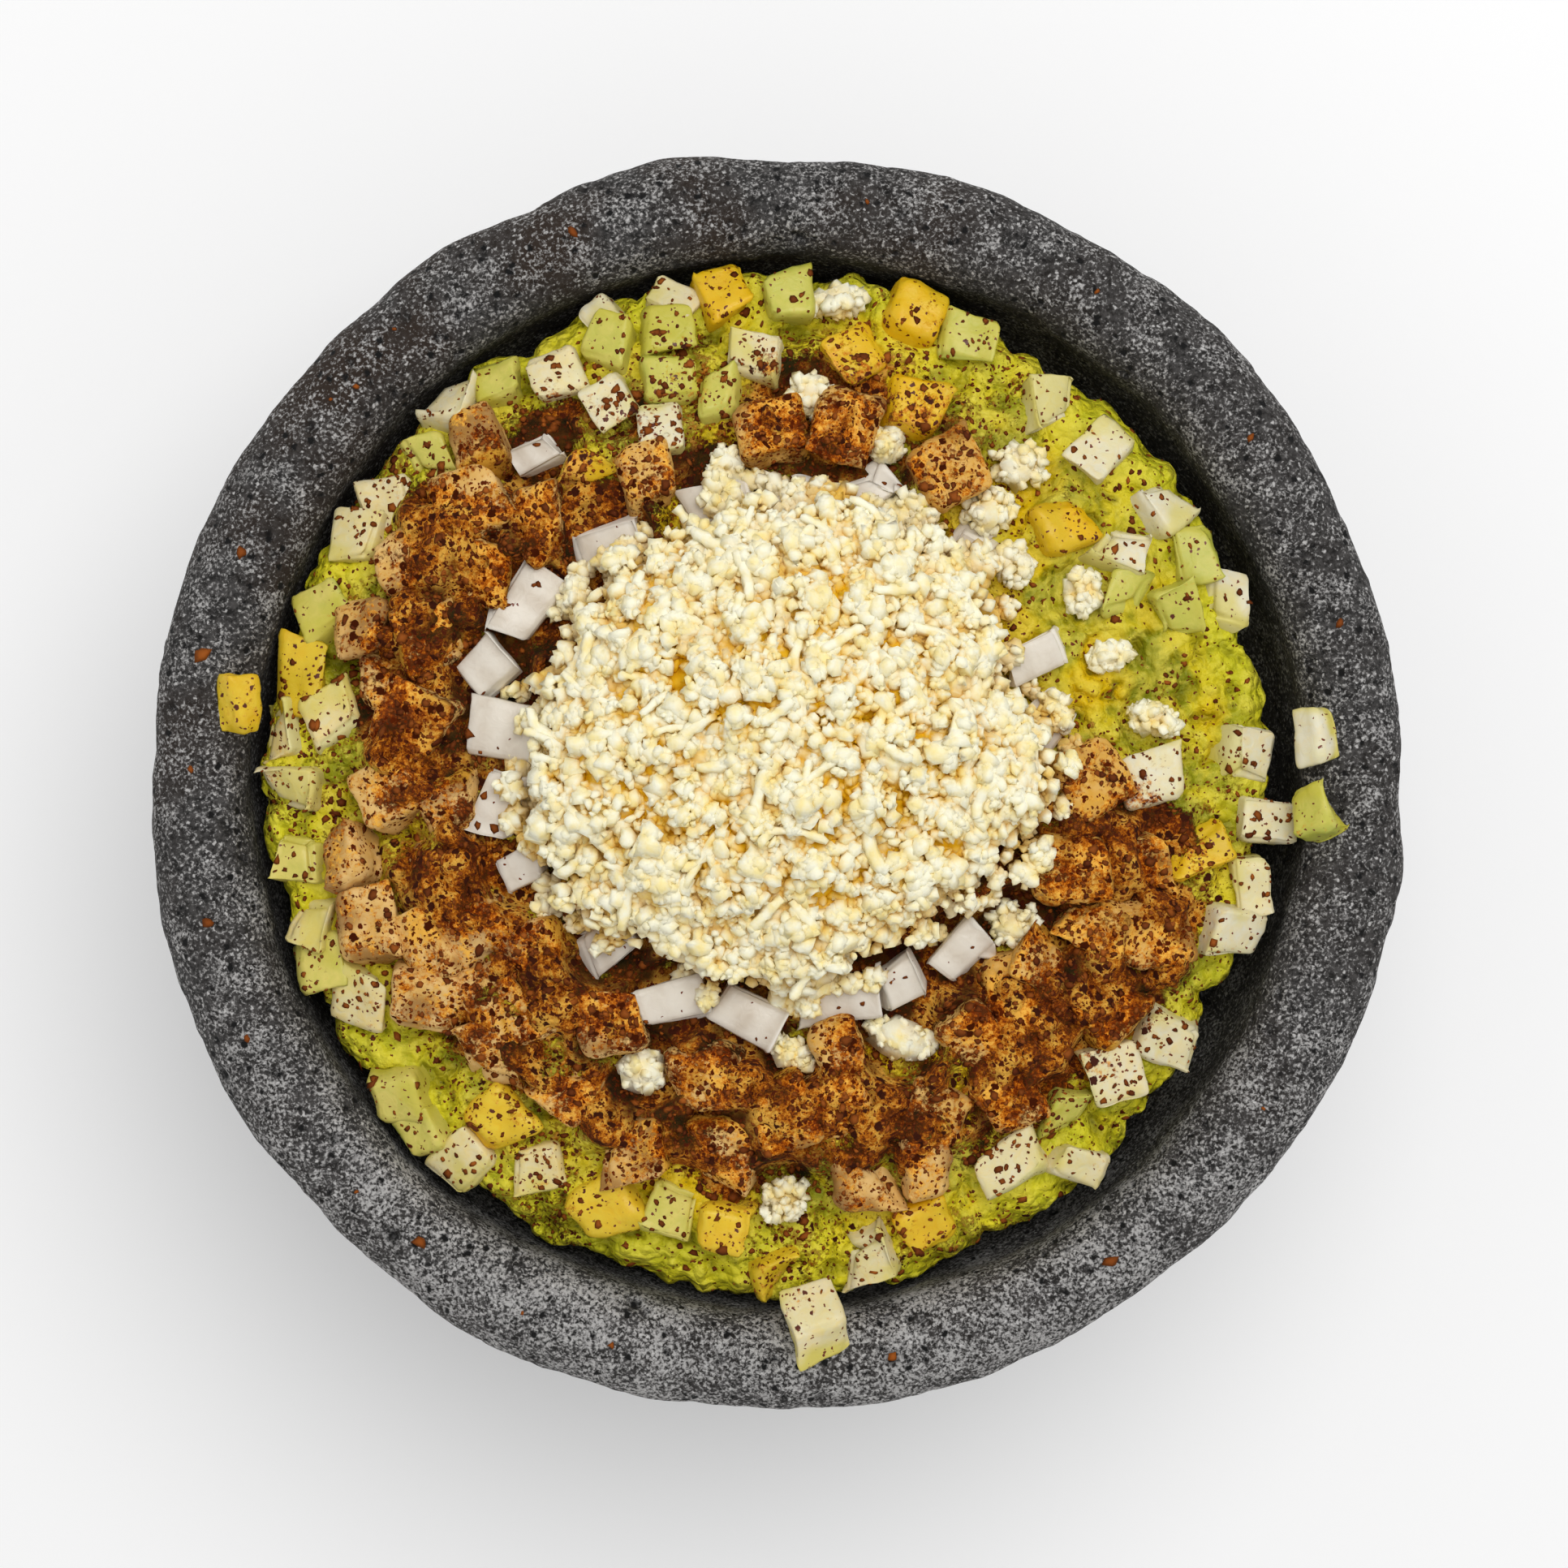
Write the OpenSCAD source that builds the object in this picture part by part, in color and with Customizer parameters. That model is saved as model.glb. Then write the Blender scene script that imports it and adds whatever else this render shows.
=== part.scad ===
// Molcajete served full: a three-legged basalt mortar that holds a bed of guacamole,
// diced fruit and vegetables around the edge, and a heap of crumbled cheese on top.
// Sizes are in millimetres. The table is at z = 0 and the bowl's axis is the z axis.

/* [Bowl] */
// Widest diameter of the stone
bowl_d = 200; // [170:1:240]
// Height of the rim above the table
bowl_h = 105; // [90:1:130]
// Width of the rim, from the outside to the steep inner wall
rim_w = 17; // [14:0.5:22]
// Rounding on the outside of the rim
rim_out_round = 8.5; // [4:0.5:10]
// Rounding on the inside of the rim
rim_in_round = 7.5; // [3:0.5:9]
// Stone left under the deepest point of the hollow
floor_t = 20; // [14:1:26]
// Squareness of the hollow, where 2 is an ellipse
hollow_n = 2.3; // [2:0.1:3]
// Depth of the flats that hewing left on the outside, as a multiple of the usual depth
hewn = 1; // [0:0.1:2]

/* [Legs] */
// Clear height under the bowl
leg_h = 30; // [20:1:40]
// Diameter of a foot on the table
foot_d = 28; // [20:1:34]
// Diameter of a leg where it runs into the bowl
leg_d = 40; // [34:1:46]
// Diameter of the circle that the legs stand on
leg_circle_d = 108; // [96:1:114]
// Diameter of the flat underside of the bowl
base_d = 100; // [80:1:120]

/* [Guacamole] */
// Drop from the rim to the edge of the guacamole
bed_drop = 10; // [8:0.5:16]
// Rise of the guacamole from its edge to the middle
bed_rise = 13; // [6:0.5:18]
// Width of the rounded shoulder where the guacamole meets the stone
shoulder = 5; // [3:0.5:8]
// Gap between the stone and what fills it
fill_gap = 0.3; // [0.3:0.05:0.6]

/* [Dice] */
// Edge of a jicama die
jicama_w = 8; // [6:0.25:10]
// Edge of a cucumber die
cucumber_w = 8; // [6:0.25:10]
// Edge of a mango die
mango_w = 8.5; // [6:0.25:11]
// Edge of a die in the chilli-dusted ring
dusted_w = 9.5; // [7:0.25:12]
// Share of a piece's height that stands out of the guacamole
proud = 0.6; // [0.4:0.05:0.75]
// Largest tilt of a piece from the lie of the bed, in degrees
tilt = 8; // [0:1:15]
// Gap left between neighbouring pieces of one kind
piece_gap = 0.2; // [0.1:0.05:0.5]

/* [Onion] */
// Length of an onion piece
onion_l = 9.5; // [7:0.5:12]
// Width of an onion piece
onion_w = 7; // [5:0.5:9]
// Thickness of an onion piece
onion_t = 3; // [2:0.25:4]

/* [Cheese] */
// Diameter of the cheese heap
heap_d = 88; // [70:1:96]
// Height of the cheese heap
heap_h = 17; // [10:0.5:24]
// Diameter of a clump of cheese in the heap
clump_d = 13; // [9:0.5:18]
// Height of a clump over the hollows around it
clump_h = 3; // [0:0.25:5]
// Gap between the heap and the guacamole that it stands on
heap_gap = 0.3; // [0.3:0.05:0.6]
// Diameter of a loose crumb of cheese
crumb_d = 7; // [5:0.25:9]

/* [Chilli] */
// Length of a chilli flake on the rim
flake_l = 1.8; // [1:0.1:3]
// Thickness of a chilli flake
flake_t = 0.5; // [0.3:0.05:1]

/* [Hidden] */
$fn = 96;

bowl_r = bowl_d / 2;
mouth_r = bowl_r - rim_w;
// Rim level at which the steep inner wall gives way to the rounding
hollow_top_z = bowl_h - rim_in_round;
hollow_floor_z = leg_h + floor_t;
wall_top_z = bowl_h - rim_out_round;
leg_count = 3;
leg_first = 30;
// Depth that a leg runs up into the stone
leg_root = floor_t * 0.55;
arc_step = 7.5;

// Flats on the outside as [direction, depth], going round from the bowl's right
hewn_flats = [[1, 0.6], [25, 0.9], [60, 0.6], [86, 1.0], [113, 0.7], [146, 1.0], [175, 0.8],
              [222, 1.2], [257, 1.4], [284, 0.8], [305, 1.0], [330, 0.6]];
// Lean of a flat from upright, which follows the taper of the wall
hewn_lean = 7;

// Edge of the guacamole, and the line below its shoulder where it meets the stone
bed_edge_z = bowl_h - bed_drop;
bed_r = hollow_radius(bed_edge_z, 0);
bed_side_z = bed_edge_z - shoulder;

// Raised middle of the guacamole that carries the heap above the dice around it
seat_d = heap_d * 0.8;
seat_z = bed_height(seat_d / 2) + proud * dusted_w;
seat_flare = 2;
heap_edge_t = 3;
// Outline of the heap as [direction, share of its radius], with a bay wherever crumbs fell away
heap_edge = [[0, 1.02], [15, 0.83], [30, 0.94], [45, 0.93], [60, 0.92], [75, 0.92], [90, 0.87],
             [105, 0.93], [120, 0.86], [135, 0.89], [150, 0.9], [165, 0.92], [180, 0.94], [195, 0.98],
             [210, 0.97], [225, 1.02], [240, 0.92], [255, 0.93], [270, 0.96], [285, 0.91], [300, 0.85],
             [315, 0.85], [330, 0.94], [345, 1.05], [360, 1.02]];
// Clumps follow a spiral that spaces them evenly, and each lies a little off it
clump_count = 52;
clump_turn = 137.5;
clump_stray = clump_d * 0.28;
clump_places = [for (k = [1 : clump_count])
  let (a = (clump_turn * k) % 360)
  heap_radius(a) * 0.96 * sqrt((k - 0.5) / clump_count) * [cos(a), sin(a)]
    + clump_stray * [sin(211 * k), sin(283 * k + 60)]];

// Places below are [right, back, turn, stretch], in steps from the bowl's axis.
// This many steps reach the mouth, and this many the outside of the rim.
mouth_count = 83;
rim_count = 100;
spread = mouth_r / mouth_count;
rim_spread = bowl_r / rim_count;

// Centre of the heap, a little behind the middle of the bowl
heap_place = spread * [1, 7];

jicama_places = [
  [-52, 59, -12, 1], [-34, 64, 20, 1], [-29, 77, 40, 0.6], [-18, 79, 60, 0.7], [-26, 60, 30, 0.9],
  [-4, 67, -10, 1.2], [-18, 55, 5, 0.8], [-66, 48, 15, 1.2], [-67, 39, -5, 1], [-70, 10, 25, 1.1],
  [-79, 8, 5, 0.8], [-77, -1, 0, 1.3], [-74, -21, -10, 1], [-65, -33, -15, 1.1], [-50, -60, 40, 1.1],
  [-38, -60, 10, 1], [14, -74, 20, 1.3], [37, -60, 30, 1.3], [47, -60, 70, 0.7], [61, -40, -25, 1.2],
  [52, -45, 15, 1], [71, -23, 80, 1.1], [75, -15, 10, 0.8], [77, -6, -5, 1.1], [73, 4, 85, 1.3],
  [58, 1, 12, 1.1], [69, 28, -8, 0.9], [43, 59, 5, 1], [51, 52, 50, 1], [60, 44, 35, 1], [53, 37, -20, 1.1]
];

cucumber_places = [
  [-44, 63, 10, 1], [-56, 50, 20, 0.9], [-26, 69, -20, 1], [-17, 71, 8, 1], [-17, 63, 5, 0.9],
  [-9, 60, 5, 0.8], [1, 76, 10, 1], [30, 70, -15, 1.2], [-75, -12, -5, 1], [-74, -30, 15, 1],
  [-60, -49, 15, 1], [-57, -57, 25, 0.8], [-16, -67, 75, 1.2], [45, -52, -10, 0.9], [62, 27, 20, 0.8],
  [55, 29, -15, 0.7], [-74, 28, 30, 1], [66, 36, 10, 0.9]
];

mango_places = [
  [-9, 78, 25, 1], [22, 76, -20, 1], [-77, 18, 85, 1.3], [12, 67, 30, 1.1], [21, 59, -12, 1.1],
  [-27, -66, 20, 1.2], [-8, -70, 80, 1], [1, -78, 15, 1], [23, -69, 30, 0.9], [-44, -53, 35, 1.1],
  [65, -10, 20, 1.3], [45, 41, 25, 1], [-29, 47, -30, 1.1]
];

dusted_places = [
  [-65, 24, 5, 0.9], [-54, 23, 15, 1], [-56, 10, -20, 1], [-60, -2, 30, 1], [-53, -13, 10, 1.1],
  [-46, -23, 35, 1.1], [-63, -22, 10, 1], [-55, -34, -15, 1.1], [-36, -34, 25, 1], [-45, -43, 5, 1],
  [-33, -46, 50, 1], [-10, -46, 15, 1], [-10, -58, -10, 1], [9, -50, 30, 1], [24, -51, -20, 1],
  [15, -62, 5, 1], [30, -40, 40, 0.9], [46, -13, 10, 1.1], [43, -28, -25, 1.1], [58, -23, 15, 1.1],
  [51, -35, 40, 1], [-46, 43, 20, 1], [-47, 32, -10, 0.9], [-58, 35, 30, 0.9], [-1, 54, 12, 0.9],
  [11, 56, -15, 0.9], [-20, 47, 20, 0.8], [-22, -56, 10, 1], [36, -50, 30, 0.9], [48, 1, 25, 0.9],
  [27, 50, 30, 0.9], [-37, 40, 10, 0.8], [-67, -12, 20, 0.8], [-51, -3, 15, 0.8], [-37, -25, 30, 0.8],
  [-26, -37, 10, 0.9], [-45, -33, 40, 0.8], [-54, -24, 20, 0.8], [0, -52, 25, 0.9], [23, -60, 10, 0.7],
  [10, -41, 20, 0.8], [40, -40, 35, 0.9], [55, -13, 15, 0.8], [50, -21, 60, 0.8], [36, -32, 10, 0.8],
  [-47, 52, 20, 0.7], [-61, 17, 10, 0.8]
];

onion_places = [
  [-38, 52, 30, 1], [-39, 28, 60, 1.1], [-27, 37, 15, 1.1], [-45, 18, 40, 0.9], [-42, 8, -10, 1.1],
  [-43, -3, 70, 1.1], [-40, -13, 20, 0.9], [-10, 42, 10, 1], [3, 45, -20, 1], [14, 46, 35, 0.9],
  [29, 35, 60, 1], [40, 20, 20, 1.1], [41, 9, 50, 1.1], [29, -26, 45, 0.9], [-17, -34, 15, 0.9],
  [-27, -25, 35, 0.9], [9, -33, 5, 1], [-5, -36, -25, 1], [19, -31, 30, 0.9]
];

crumb_places = [
  [9, 76, 10, 1], [5, 61, 50, 1], [17, 53, 20, 0.8], [33, 43, 15, 1.1], [38, 50, 40, 1.1],
  [37, 34, 70, 0.9], [48, 30, 0, 0.9], [59, 10, 25, 0.9], [37, -22, 60, 1], [19, -40, 35, 1.1],
  [2, -42, 5, 0.8], [-21, -45, 80, 1], [1, -66, 45, 1.1], [-8, 49, 30, 0.9], [52, 20, 10, 0.7]
];

// Places on the rounding inside the rim, for the few dice that lie there
jicama_rim_places = [[6, -86, 20, 0.9], [85, 7, 10, 0.6]];
cucumber_rim_places = [[86, -4, 15, 0.8]];
mango_rim_places = [[-85, 13, 10, 0.6]];

flake_places = [
  [-70, 60, 20, 1], [-60, 71, 60, 0.8], [-66, 62, 10, 1.1], [-84, 36, 45, 0.9], [-90, 20, 30, 0.8],
  [-92, 2, 75, 1], [-89, -22, 15, 0.9], [-83, -40, 50, 1.1], [-66, -64, 5, 1], [-56, -72, 35, 0.9],
  [-40, -83, 65, 0.8], [-26, -88, 25, 1], [18, -90, 10, 1], [52, -75, 40, 0.8], [76, -51, 20, 0.9],
  [88, 25, 55, 0.8], [74, 54, 30, 0.9], [50, 77, 5, 0.8], [14, 91, 70, 0.9], [-32, 86, 45, 1]
];

// Kinds of piece as [footprints, thickness]; each kind is trimmed by the kinds before it
kinds = [
  [feet(onion_places, onion_l, onion_w), onion_t],
  [feet(jicama_places, jicama_w, jicama_w), jicama_w],
  [feet(cucumber_places, cucumber_w, cucumber_w), cucumber_w],
  [feet(mango_places, mango_w, mango_w), mango_w],
  [feet(dusted_places, dusted_w, dusted_w), dusted_w]
];
// How far two upright neighbours can lean into each other
lean_room = dusted_w * sin(tilt);
// Edge of the blocks that cut along a plane
reach = bowl_d;

// Radius of the hollow at height z, drawn in by inset all over
function hollow_radius(z, inset) =
  let (a = mouth_r - inset, d = hollow_top_z - hollow_floor_z - inset,
       s = min(1, max(0, hollow_top_z - z) / d))
  a * pow(max(0, 1 - pow(s, hollow_n)), 1 / hollow_n);

// Half outline of the hollow from a height down to its floor, drawn in by inset
function hollow_line(inset, from_a) =
  [for (a = [from_a : (90 - from_a) / 16 : 90.001])
    [(mouth_r - inset) * pow(max(0, cos(a)), 2 / hollow_n),
     hollow_top_z - (hollow_top_z - hollow_floor_z - inset) * pow(sin(a), 2 / hollow_n)]];

// Angle on the hollow's outline at height z
function hollow_angle(z, inset) =
  asin(pow(max(0, hollow_top_z - z) / (hollow_top_z - hollow_floor_z - inset), hollow_n / 2));

// Arc of radius r about c between two directions
function arc(c, r, from_a, to_a) =
  let (n = ceil(abs(to_a - from_a) / arc_step))
  [for (i = [0 : n]) c + r * [cos(from_a + (to_a - from_a) * i / n), sin(from_a + (to_a - from_a) * i / n)]];

// Outer wall from the rim's rounding down to the flat underside
function wall_line() =
  [for (a = [0 : arc_step : 90])
    [base_d / 2 + (bowl_r - base_d / 2) * cos(a), wall_top_z - (wall_top_z - leg_h) * sin(a)]];

// Height and slope of the guacamole's surface at radius r
function bed_height(r) = bed_edge_z + bed_rise * (1 - pow(r / bed_r, 2));
function bed_slope(r) = atan(2 * bed_rise * r / pow(bed_r, 2));

// Height of the rim's rounded top at radius r
function rim_height(r) =
  let (in_c = mouth_r + rim_in_round, out_c = bowl_r - rim_out_round)
  r < in_c ? hollow_top_z + sqrt(max(0, pow(rim_in_round, 2) - pow(in_c - r, 2)))
  : r > out_c ? wall_top_z + sqrt(max(0, pow(rim_out_round, 2) - pow(r - out_c, 2)))
  : bowl_h;
function rim_slope(r) =
  let (in_c = mouth_r + rim_in_round, out_c = bowl_r - rim_out_round)
  r < in_c ? -asin(min(1, (in_c - r) / rim_in_round))
  : r > out_c ? asin(min(1, (r - out_c) / rim_out_round))
  : 0;

function wobble(i, phase) = tilt * sin(137 * i + phase);

function heap_radius(a) = heap_d / 2 * lookup(a, heap_edge);

// Rise of the clumps at a place on the heap: the highest of the round tops that reach it
function clump_rise(p) =
  clump_h * max([for (k = [0 : clump_count - 1])
    let (r = clump_d / 2 * (0.8 + 0.2 * sin(97 * k)))
    max(0, 0.85 + 0.15 * sin(151 * k) - pow(norm(p - clump_places[k]) / r, 2))]);

// Height of the heap at share t of the way from its middle to its edge in direction a
function heap_height(t, a) =
  heap_edge_t + (heap_h - heap_edge_t - clump_h) * pow(max(0, cos(90 * t)), 0.9)
    + clump_rise(heap_radius(a) * t * [cos(a), sin(a)]);

// Space inside the bowl and above its rim, clear of the stone by the fill gap
module clear_space() {
  top = 3 * bowl_h;
  rotate_extrude()
    polygon(concat(
      [[0, top]],
      hollow_clear_line(),
      [[bowl_r + rim_w, bowl_h + fill_gap], [bowl_r + rim_w, top]]));
}

function reversed(line) = [for (i = [len(line) - 1 : -1 : 0]) line[i]];

// From the hollow's floor up its wall and over the rim's rounding
function hollow_clear_line() = concat(
  reversed(hollow_line(fill_gap, 0)),
  arc([mouth_r + rim_in_round, hollow_top_z], rim_in_round + fill_gap, 180 - arc_step, 90));

function turned(v, a) = [v[0] * cos(a) - v[1] * sin(a), v[0] * sin(a) + v[1] * cos(a)];

// Footprints [right, back, turn, length, width] of the pieces of one kind
function feet(places, l, w) = [for (p = places) [spread * p[0], spread * p[1], p[2], l * p[3], w]];

// Thickness of piece i of a kind that is t thick
function thick(i, t) = t * (0.95 + 0.05 * sin(71 * i));

// Half the width of footprint f along direction a
function half_width(f, a) = (f[3] * abs(cos(a - f[2])) + f[4] * abs(sin(a - f[2]))) / 2;

// Clear distance between footprints f and g, below zero where they cross
function apart_along(f, g, a) =
  abs((g[0] - f[0]) * cos(a) + (g[1] - f[1]) * sin(a)) - half_width(f, a) - half_width(g, a);
function apart(f, g) = max([for (a = [f[2], f[2] + 90, g[2], g[2] + 90]) apart_along(f, g, a)]);

// Sets its child, of height h, into the guacamole at footprint f
module in_bed(f, h, i) {
  r = norm([f[0], f[1]]);
  a = atan2(f[1], f[0]);
  rotate([0, 0, a])
    translate([r, 0, bed_height(r) + h * (proud - 0.5)])
      rotate([wobble(i, 0), bed_slope(r) + wobble(i, 90), 0])
        rotate([0, 0, f[2] - a])
          children();
}

// Sets its child, of height h, on the rounding inside the rim
module on_rim(p, h) {
  r = spread * norm([p[0], p[1]]);
  a = atan2(p[1], p[0]);
  rotate([0, 0, a])
    translate([r, 0, rim_height(r)])
      rotate([0, rim_slope(r), 0])
        translate([0, 0, h / 2 + fill_gap])
          rotate([0, 0, p[2] - a])
            children();
}

module piece(f, h, i) {
  in_bed(f, h, i)
    cube([f[3], f[4], h], center = true);
}

// All that lies on a piece's own side of its face towards footprint g
module side(f, h, i, g, gap) {
  along = apart_along(f, g, f[2]) > apart_along(f, g, f[2] + 90) ? 0 : 90;
  ahead = (g[0] - f[0]) * cos(f[2] + along) + (g[1] - f[1]) * sin(f[2] + along) > 0;
  half = (along == 0 ? f[3] : f[4]) / 2;
  in_bed(f, h, i)
    rotate([0, 0, ahead ? along : along + 180])
      translate([half + gap - reach / 2, 0, 0])
        cube(reach, center = true);
}

// Sides of the first n pieces of kind k that footprint g would run into
module sides(k, n, g, gap) {
  kind = kinds[k][0];
  for (j = [0 : 1 : n - 1])
    if (apart(kind[j], g) < lean_room)
      side(kind[j], thick(j, kinds[k][1]), j, g, gap);
}

// Pieces of kind k, each trimmed flat where it would run into an earlier one
module pieces(k) {
  kind = kinds[k][0];
  for (i = [0 : len(kind) - 1])
    difference() {
      piece(kind[i], thick(i, kinds[k][1]), i);
      for (j = [0 : 1 : k - 1])
        sides(j, len(kinds[j][0]), kind[i], 0);
      sides(k, i, kind[i], piece_gap);
    }
}

// Hollow that a piece presses into the guacamole, open straight up
module socket(f, h, i) {
  r = norm([f[0], f[1]]);
  a = atan2(f[1], f[0]);
  upright = [cos(wobble(i, 0)) * sin(bed_slope(r) + wobble(i, 90)), -sin(wobble(i, 0))];
  lean = turned(h * upright, a - f[2]);
  intersection() {
    rotate([0, 0, a])
      translate([r, 0, bed_height(r)])
        rotate([0, 0, f[2] - a])
          translate([-proud / 2 * lean[0], -proud / 2 * lean[1], 0])
            cube([f[3] + (1 - proud) * abs(lean[0]) + 2 * fill_gap,
                  f[4] + (1 - proud) * abs(lean[1]) + 2 * fill_gap, 3 * h], center = true);
    in_bed(f, h, i)
      translate([0, 0, (reach - h) / 2])
        cube(reach, center = true);
  }
}

module sockets() {
  for (kind = kinds, i = [0 : len(kind[0]) - 1])
    socket(kind[0][i], thick(i, kind[1]), i);
}

module rim_dice(places, w, gap) {
  for (p = places)
    on_rim(p, w * p[3])
      cube([w * p[3] + 2 * gap, w + 2 * gap, w * p[3] + 2 * gap], center = true);
}

module all_rim_dice(gap) {
  rim_dice(jicama_rim_places, jicama_w, gap);
  rim_dice(cucumber_rim_places, cucumber_w, gap);
  rim_dice(mango_rim_places, mango_w, gap);
}

module crumb(i) {
  p = crumb_places[i];
  in_bed([spread * p[0], spread * p[1], p[2]], crumb_d, i)
    sphere(d = crumb_d * p[3]);
}

module crumbs() {
  for (i = [0 : len(crumb_places) - 1])
    crumb(i);
}

// Pieces of kind k with the dice that lie on the rim, clear of the stone, crumbs and seat
module set_pieces(k, rim_places) {
  intersection() {
    difference() {
      pieces(k);
      all_rim_dice(piece_gap);
      crumbs();
      seat();
    }
    clear_space();
  }
  if (len(rim_places) > 0)
    intersection() {
      rim_dice(rim_places, kinds[k][1], 0);
      clear_space();
    }
}

module leg() {
  cylinder(h = leg_h + leg_root, d1 = foot_d, d2 = leg_d + (leg_d - foot_d) * leg_root / leg_h);
}

module stone_bowl() {
  color([0.24, 0.25, 0.26])
    difference() {
      union() {
        rotate_extrude()
          polygon(concat(
            reversed(hollow_line(0, 0)),
            arc([mouth_r + rim_in_round, hollow_top_z], rim_in_round, 180 - arc_step, 90),
            arc([bowl_r - rim_out_round, wall_top_z], rim_out_round, 90, arc_step),
            wall_line(),
            [[0, leg_h]]));
        for (i = [0 : leg_count - 1])
          rotate([0, 0, leg_first + i * 360 / leg_count])
            translate([leg_circle_d / 2, 0, 0])
              leg();
      }
      for (f = hewn_flats)
        rotate([0, 0, f[0]])
          translate([bowl_r - hewn * f[1], 0, wall_top_z])
            rotate([0, hewn_lean, 0])
              translate([0, -bowl_r / 2, -bowl_h])
                cube([rim_w, bowl_r, 2 * bowl_h]);
    }
}

// Raised middle that the heap stands on, which trims the pieces that lean against it
module seat() {
  translate([heap_place[0], heap_place[1], bed_edge_z])
    cylinder(h = seat_z - bed_edge_z, d1 = seat_d + 2 * seat_flare, d2 = seat_d);
}

module bed() {
  side_r = hollow_radius(bed_side_z, fill_gap);
  dome_r = side_r - shoulder;
  rotate_extrude()
    polygon(concat(
      reversed(hollow_line(fill_gap, hollow_angle(bed_side_z, fill_gap))),
      [for (a = [90 - 2 * arc_step : -2 * arc_step : 0])
        [dome_r + shoulder * sin(a), bed_height(dome_r + shoulder * sin(a)) - shoulder * (1 - cos(a))]],
      [for (t = [0.94 : -0.06 : 0.01]) [dome_r * t, bed_height(dome_r * t)]],
      [[0, bed_height(0)]]));
}

module guacamole() {
  color([0.62, 0.66, 0.28]) {
    difference() {
      bed();
      sockets();
      crumbs();
    }
    seat();
  }
}

module jicama_dice() {
  color([0.93, 0.92, 0.84])
    set_pieces(1, jicama_rim_places);
}

module cucumber_dice() {
  color([0.76, 0.82, 0.5])
    set_pieces(2, cucumber_rim_places);
}

module mango_dice() {
  color([0.9, 0.75, 0.28])
    set_pieces(3, mango_rim_places);
}

module dusted_dice() {
  color([0.6, 0.3, 0.13])
    set_pieces(4, []);
}

module onion_pieces() {
  color([0.92, 0.9, 0.86])
    set_pieces(0, []);
}

module cheese_heap() {
  rings = 16;
  spokes = 96;
  top = [for (k = [1 : rings], j = [0 : spokes - 1])
    let (a = 360 * j / spokes, t = k / rings, r = heap_radius(a) * t)
    [r * cos(a), r * sin(a), heap_height(t, a)]];
  rim = [for (j = [0 : spokes - 1])
    let (a = 360 * j / spokes) [heap_radius(a) * cos(a), heap_radius(a) * sin(a), 0]];
  peak = [[0, 0, heap_height(0, 0)], [0, 0, 0]];
  points = concat(top, rim, peak);
  n = rings * spokes;
  faces = concat(
    [for (j = [0 : spokes - 1]) [n + spokes, (j + 1) % spokes, j]],
    [for (k = [0 : rings - 1], j = [0 : spokes - 1])
      [k * spokes + j, k * spokes + (j + 1) % spokes, (k + 1) * spokes + j]],
    [for (k = [0 : rings - 1], j = [0 : spokes - 1])
      [k * spokes + (j + 1) % spokes, (k + 1) * spokes + (j + 1) % spokes, (k + 1) * spokes + j]],
    [for (j = [0 : spokes - 1]) [n + spokes + 1, n + j, n + (j + 1) % spokes]]);
  color([0.95, 0.93, 0.85])
    translate([heap_place[0], heap_place[1], seat_z + heap_gap])
      polyhedron(points, faces);
}

module cheese_crumbs() {
  color([0.97, 0.95, 0.88])
    crumbs();
}

module chilli_flakes() {
  color([0.55, 0.2, 0.1])
    for (p = flake_places) {
      r = rim_spread * norm([p[0], p[1]]);
      rotate([0, 0, atan2(p[1], p[0])])
        translate([r, 0, rim_height(r)])
          rotate([0, rim_slope(r), 0])
            rotate([0, 0, p[2]])
              translate([0, 0, flake_t / 2])
                cube([flake_l * p[3], flake_l * 0.6, flake_t], center = true);
    }
}

stone_bowl();
guacamole();
jicama_dice();
cucumber_dice();
mango_dice();
dusted_dice();
onion_pieces();
cheese_heap();
cheese_crumbs();
chilli_flakes();
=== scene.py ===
"""Molcajete served full: a hewn basalt mortar with guacamole, dusted dice and crumbled cheese.

Each sub-assembly is a class that builds its surfaces with numpy, in millimetres in the frame of
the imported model, and dresses them. Meshes are put into Blender in metres.
"""

import logging
import math
from collections.abc import Callable
from dataclasses import dataclass, field
from enum import Enum
from functools import partial

import bpy
import numpy as np
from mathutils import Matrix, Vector
from mathutils.bvhtree import BVHTree


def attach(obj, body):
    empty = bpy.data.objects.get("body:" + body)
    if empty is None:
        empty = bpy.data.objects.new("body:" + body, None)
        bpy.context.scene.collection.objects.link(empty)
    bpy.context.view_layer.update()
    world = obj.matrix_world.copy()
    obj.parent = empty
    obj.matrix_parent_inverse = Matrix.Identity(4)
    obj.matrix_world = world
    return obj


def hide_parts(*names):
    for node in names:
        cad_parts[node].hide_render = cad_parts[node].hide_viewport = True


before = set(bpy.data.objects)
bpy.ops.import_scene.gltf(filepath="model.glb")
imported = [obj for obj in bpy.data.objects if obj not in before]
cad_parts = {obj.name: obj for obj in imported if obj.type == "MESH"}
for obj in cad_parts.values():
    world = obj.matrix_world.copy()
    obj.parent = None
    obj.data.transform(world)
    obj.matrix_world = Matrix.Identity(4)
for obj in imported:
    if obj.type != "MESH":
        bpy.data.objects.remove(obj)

LOG = logging.getLogger("molcajete")
MM = 0.001
TURN = 2 * math.pi
DROP_M = 0.2  # height above the food from which things fall on it
FACTOR, FIRST, SECOND, UNDER, OVER = 0, 2, 3, 6, 7  # inputs of a Mix node
COLOURS = {"out": 2, "data_type": "RGBA"}  # a Mix node of two colours, and its output
Array = np.ndarray
Rng = np.random.Generator
Object = bpy.types.Object
Mesh = bpy.types.Mesh
Material = bpy.types.Material
Socket = bpy.types.NodeSocket
Adder = Callable[..., Socket]


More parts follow.
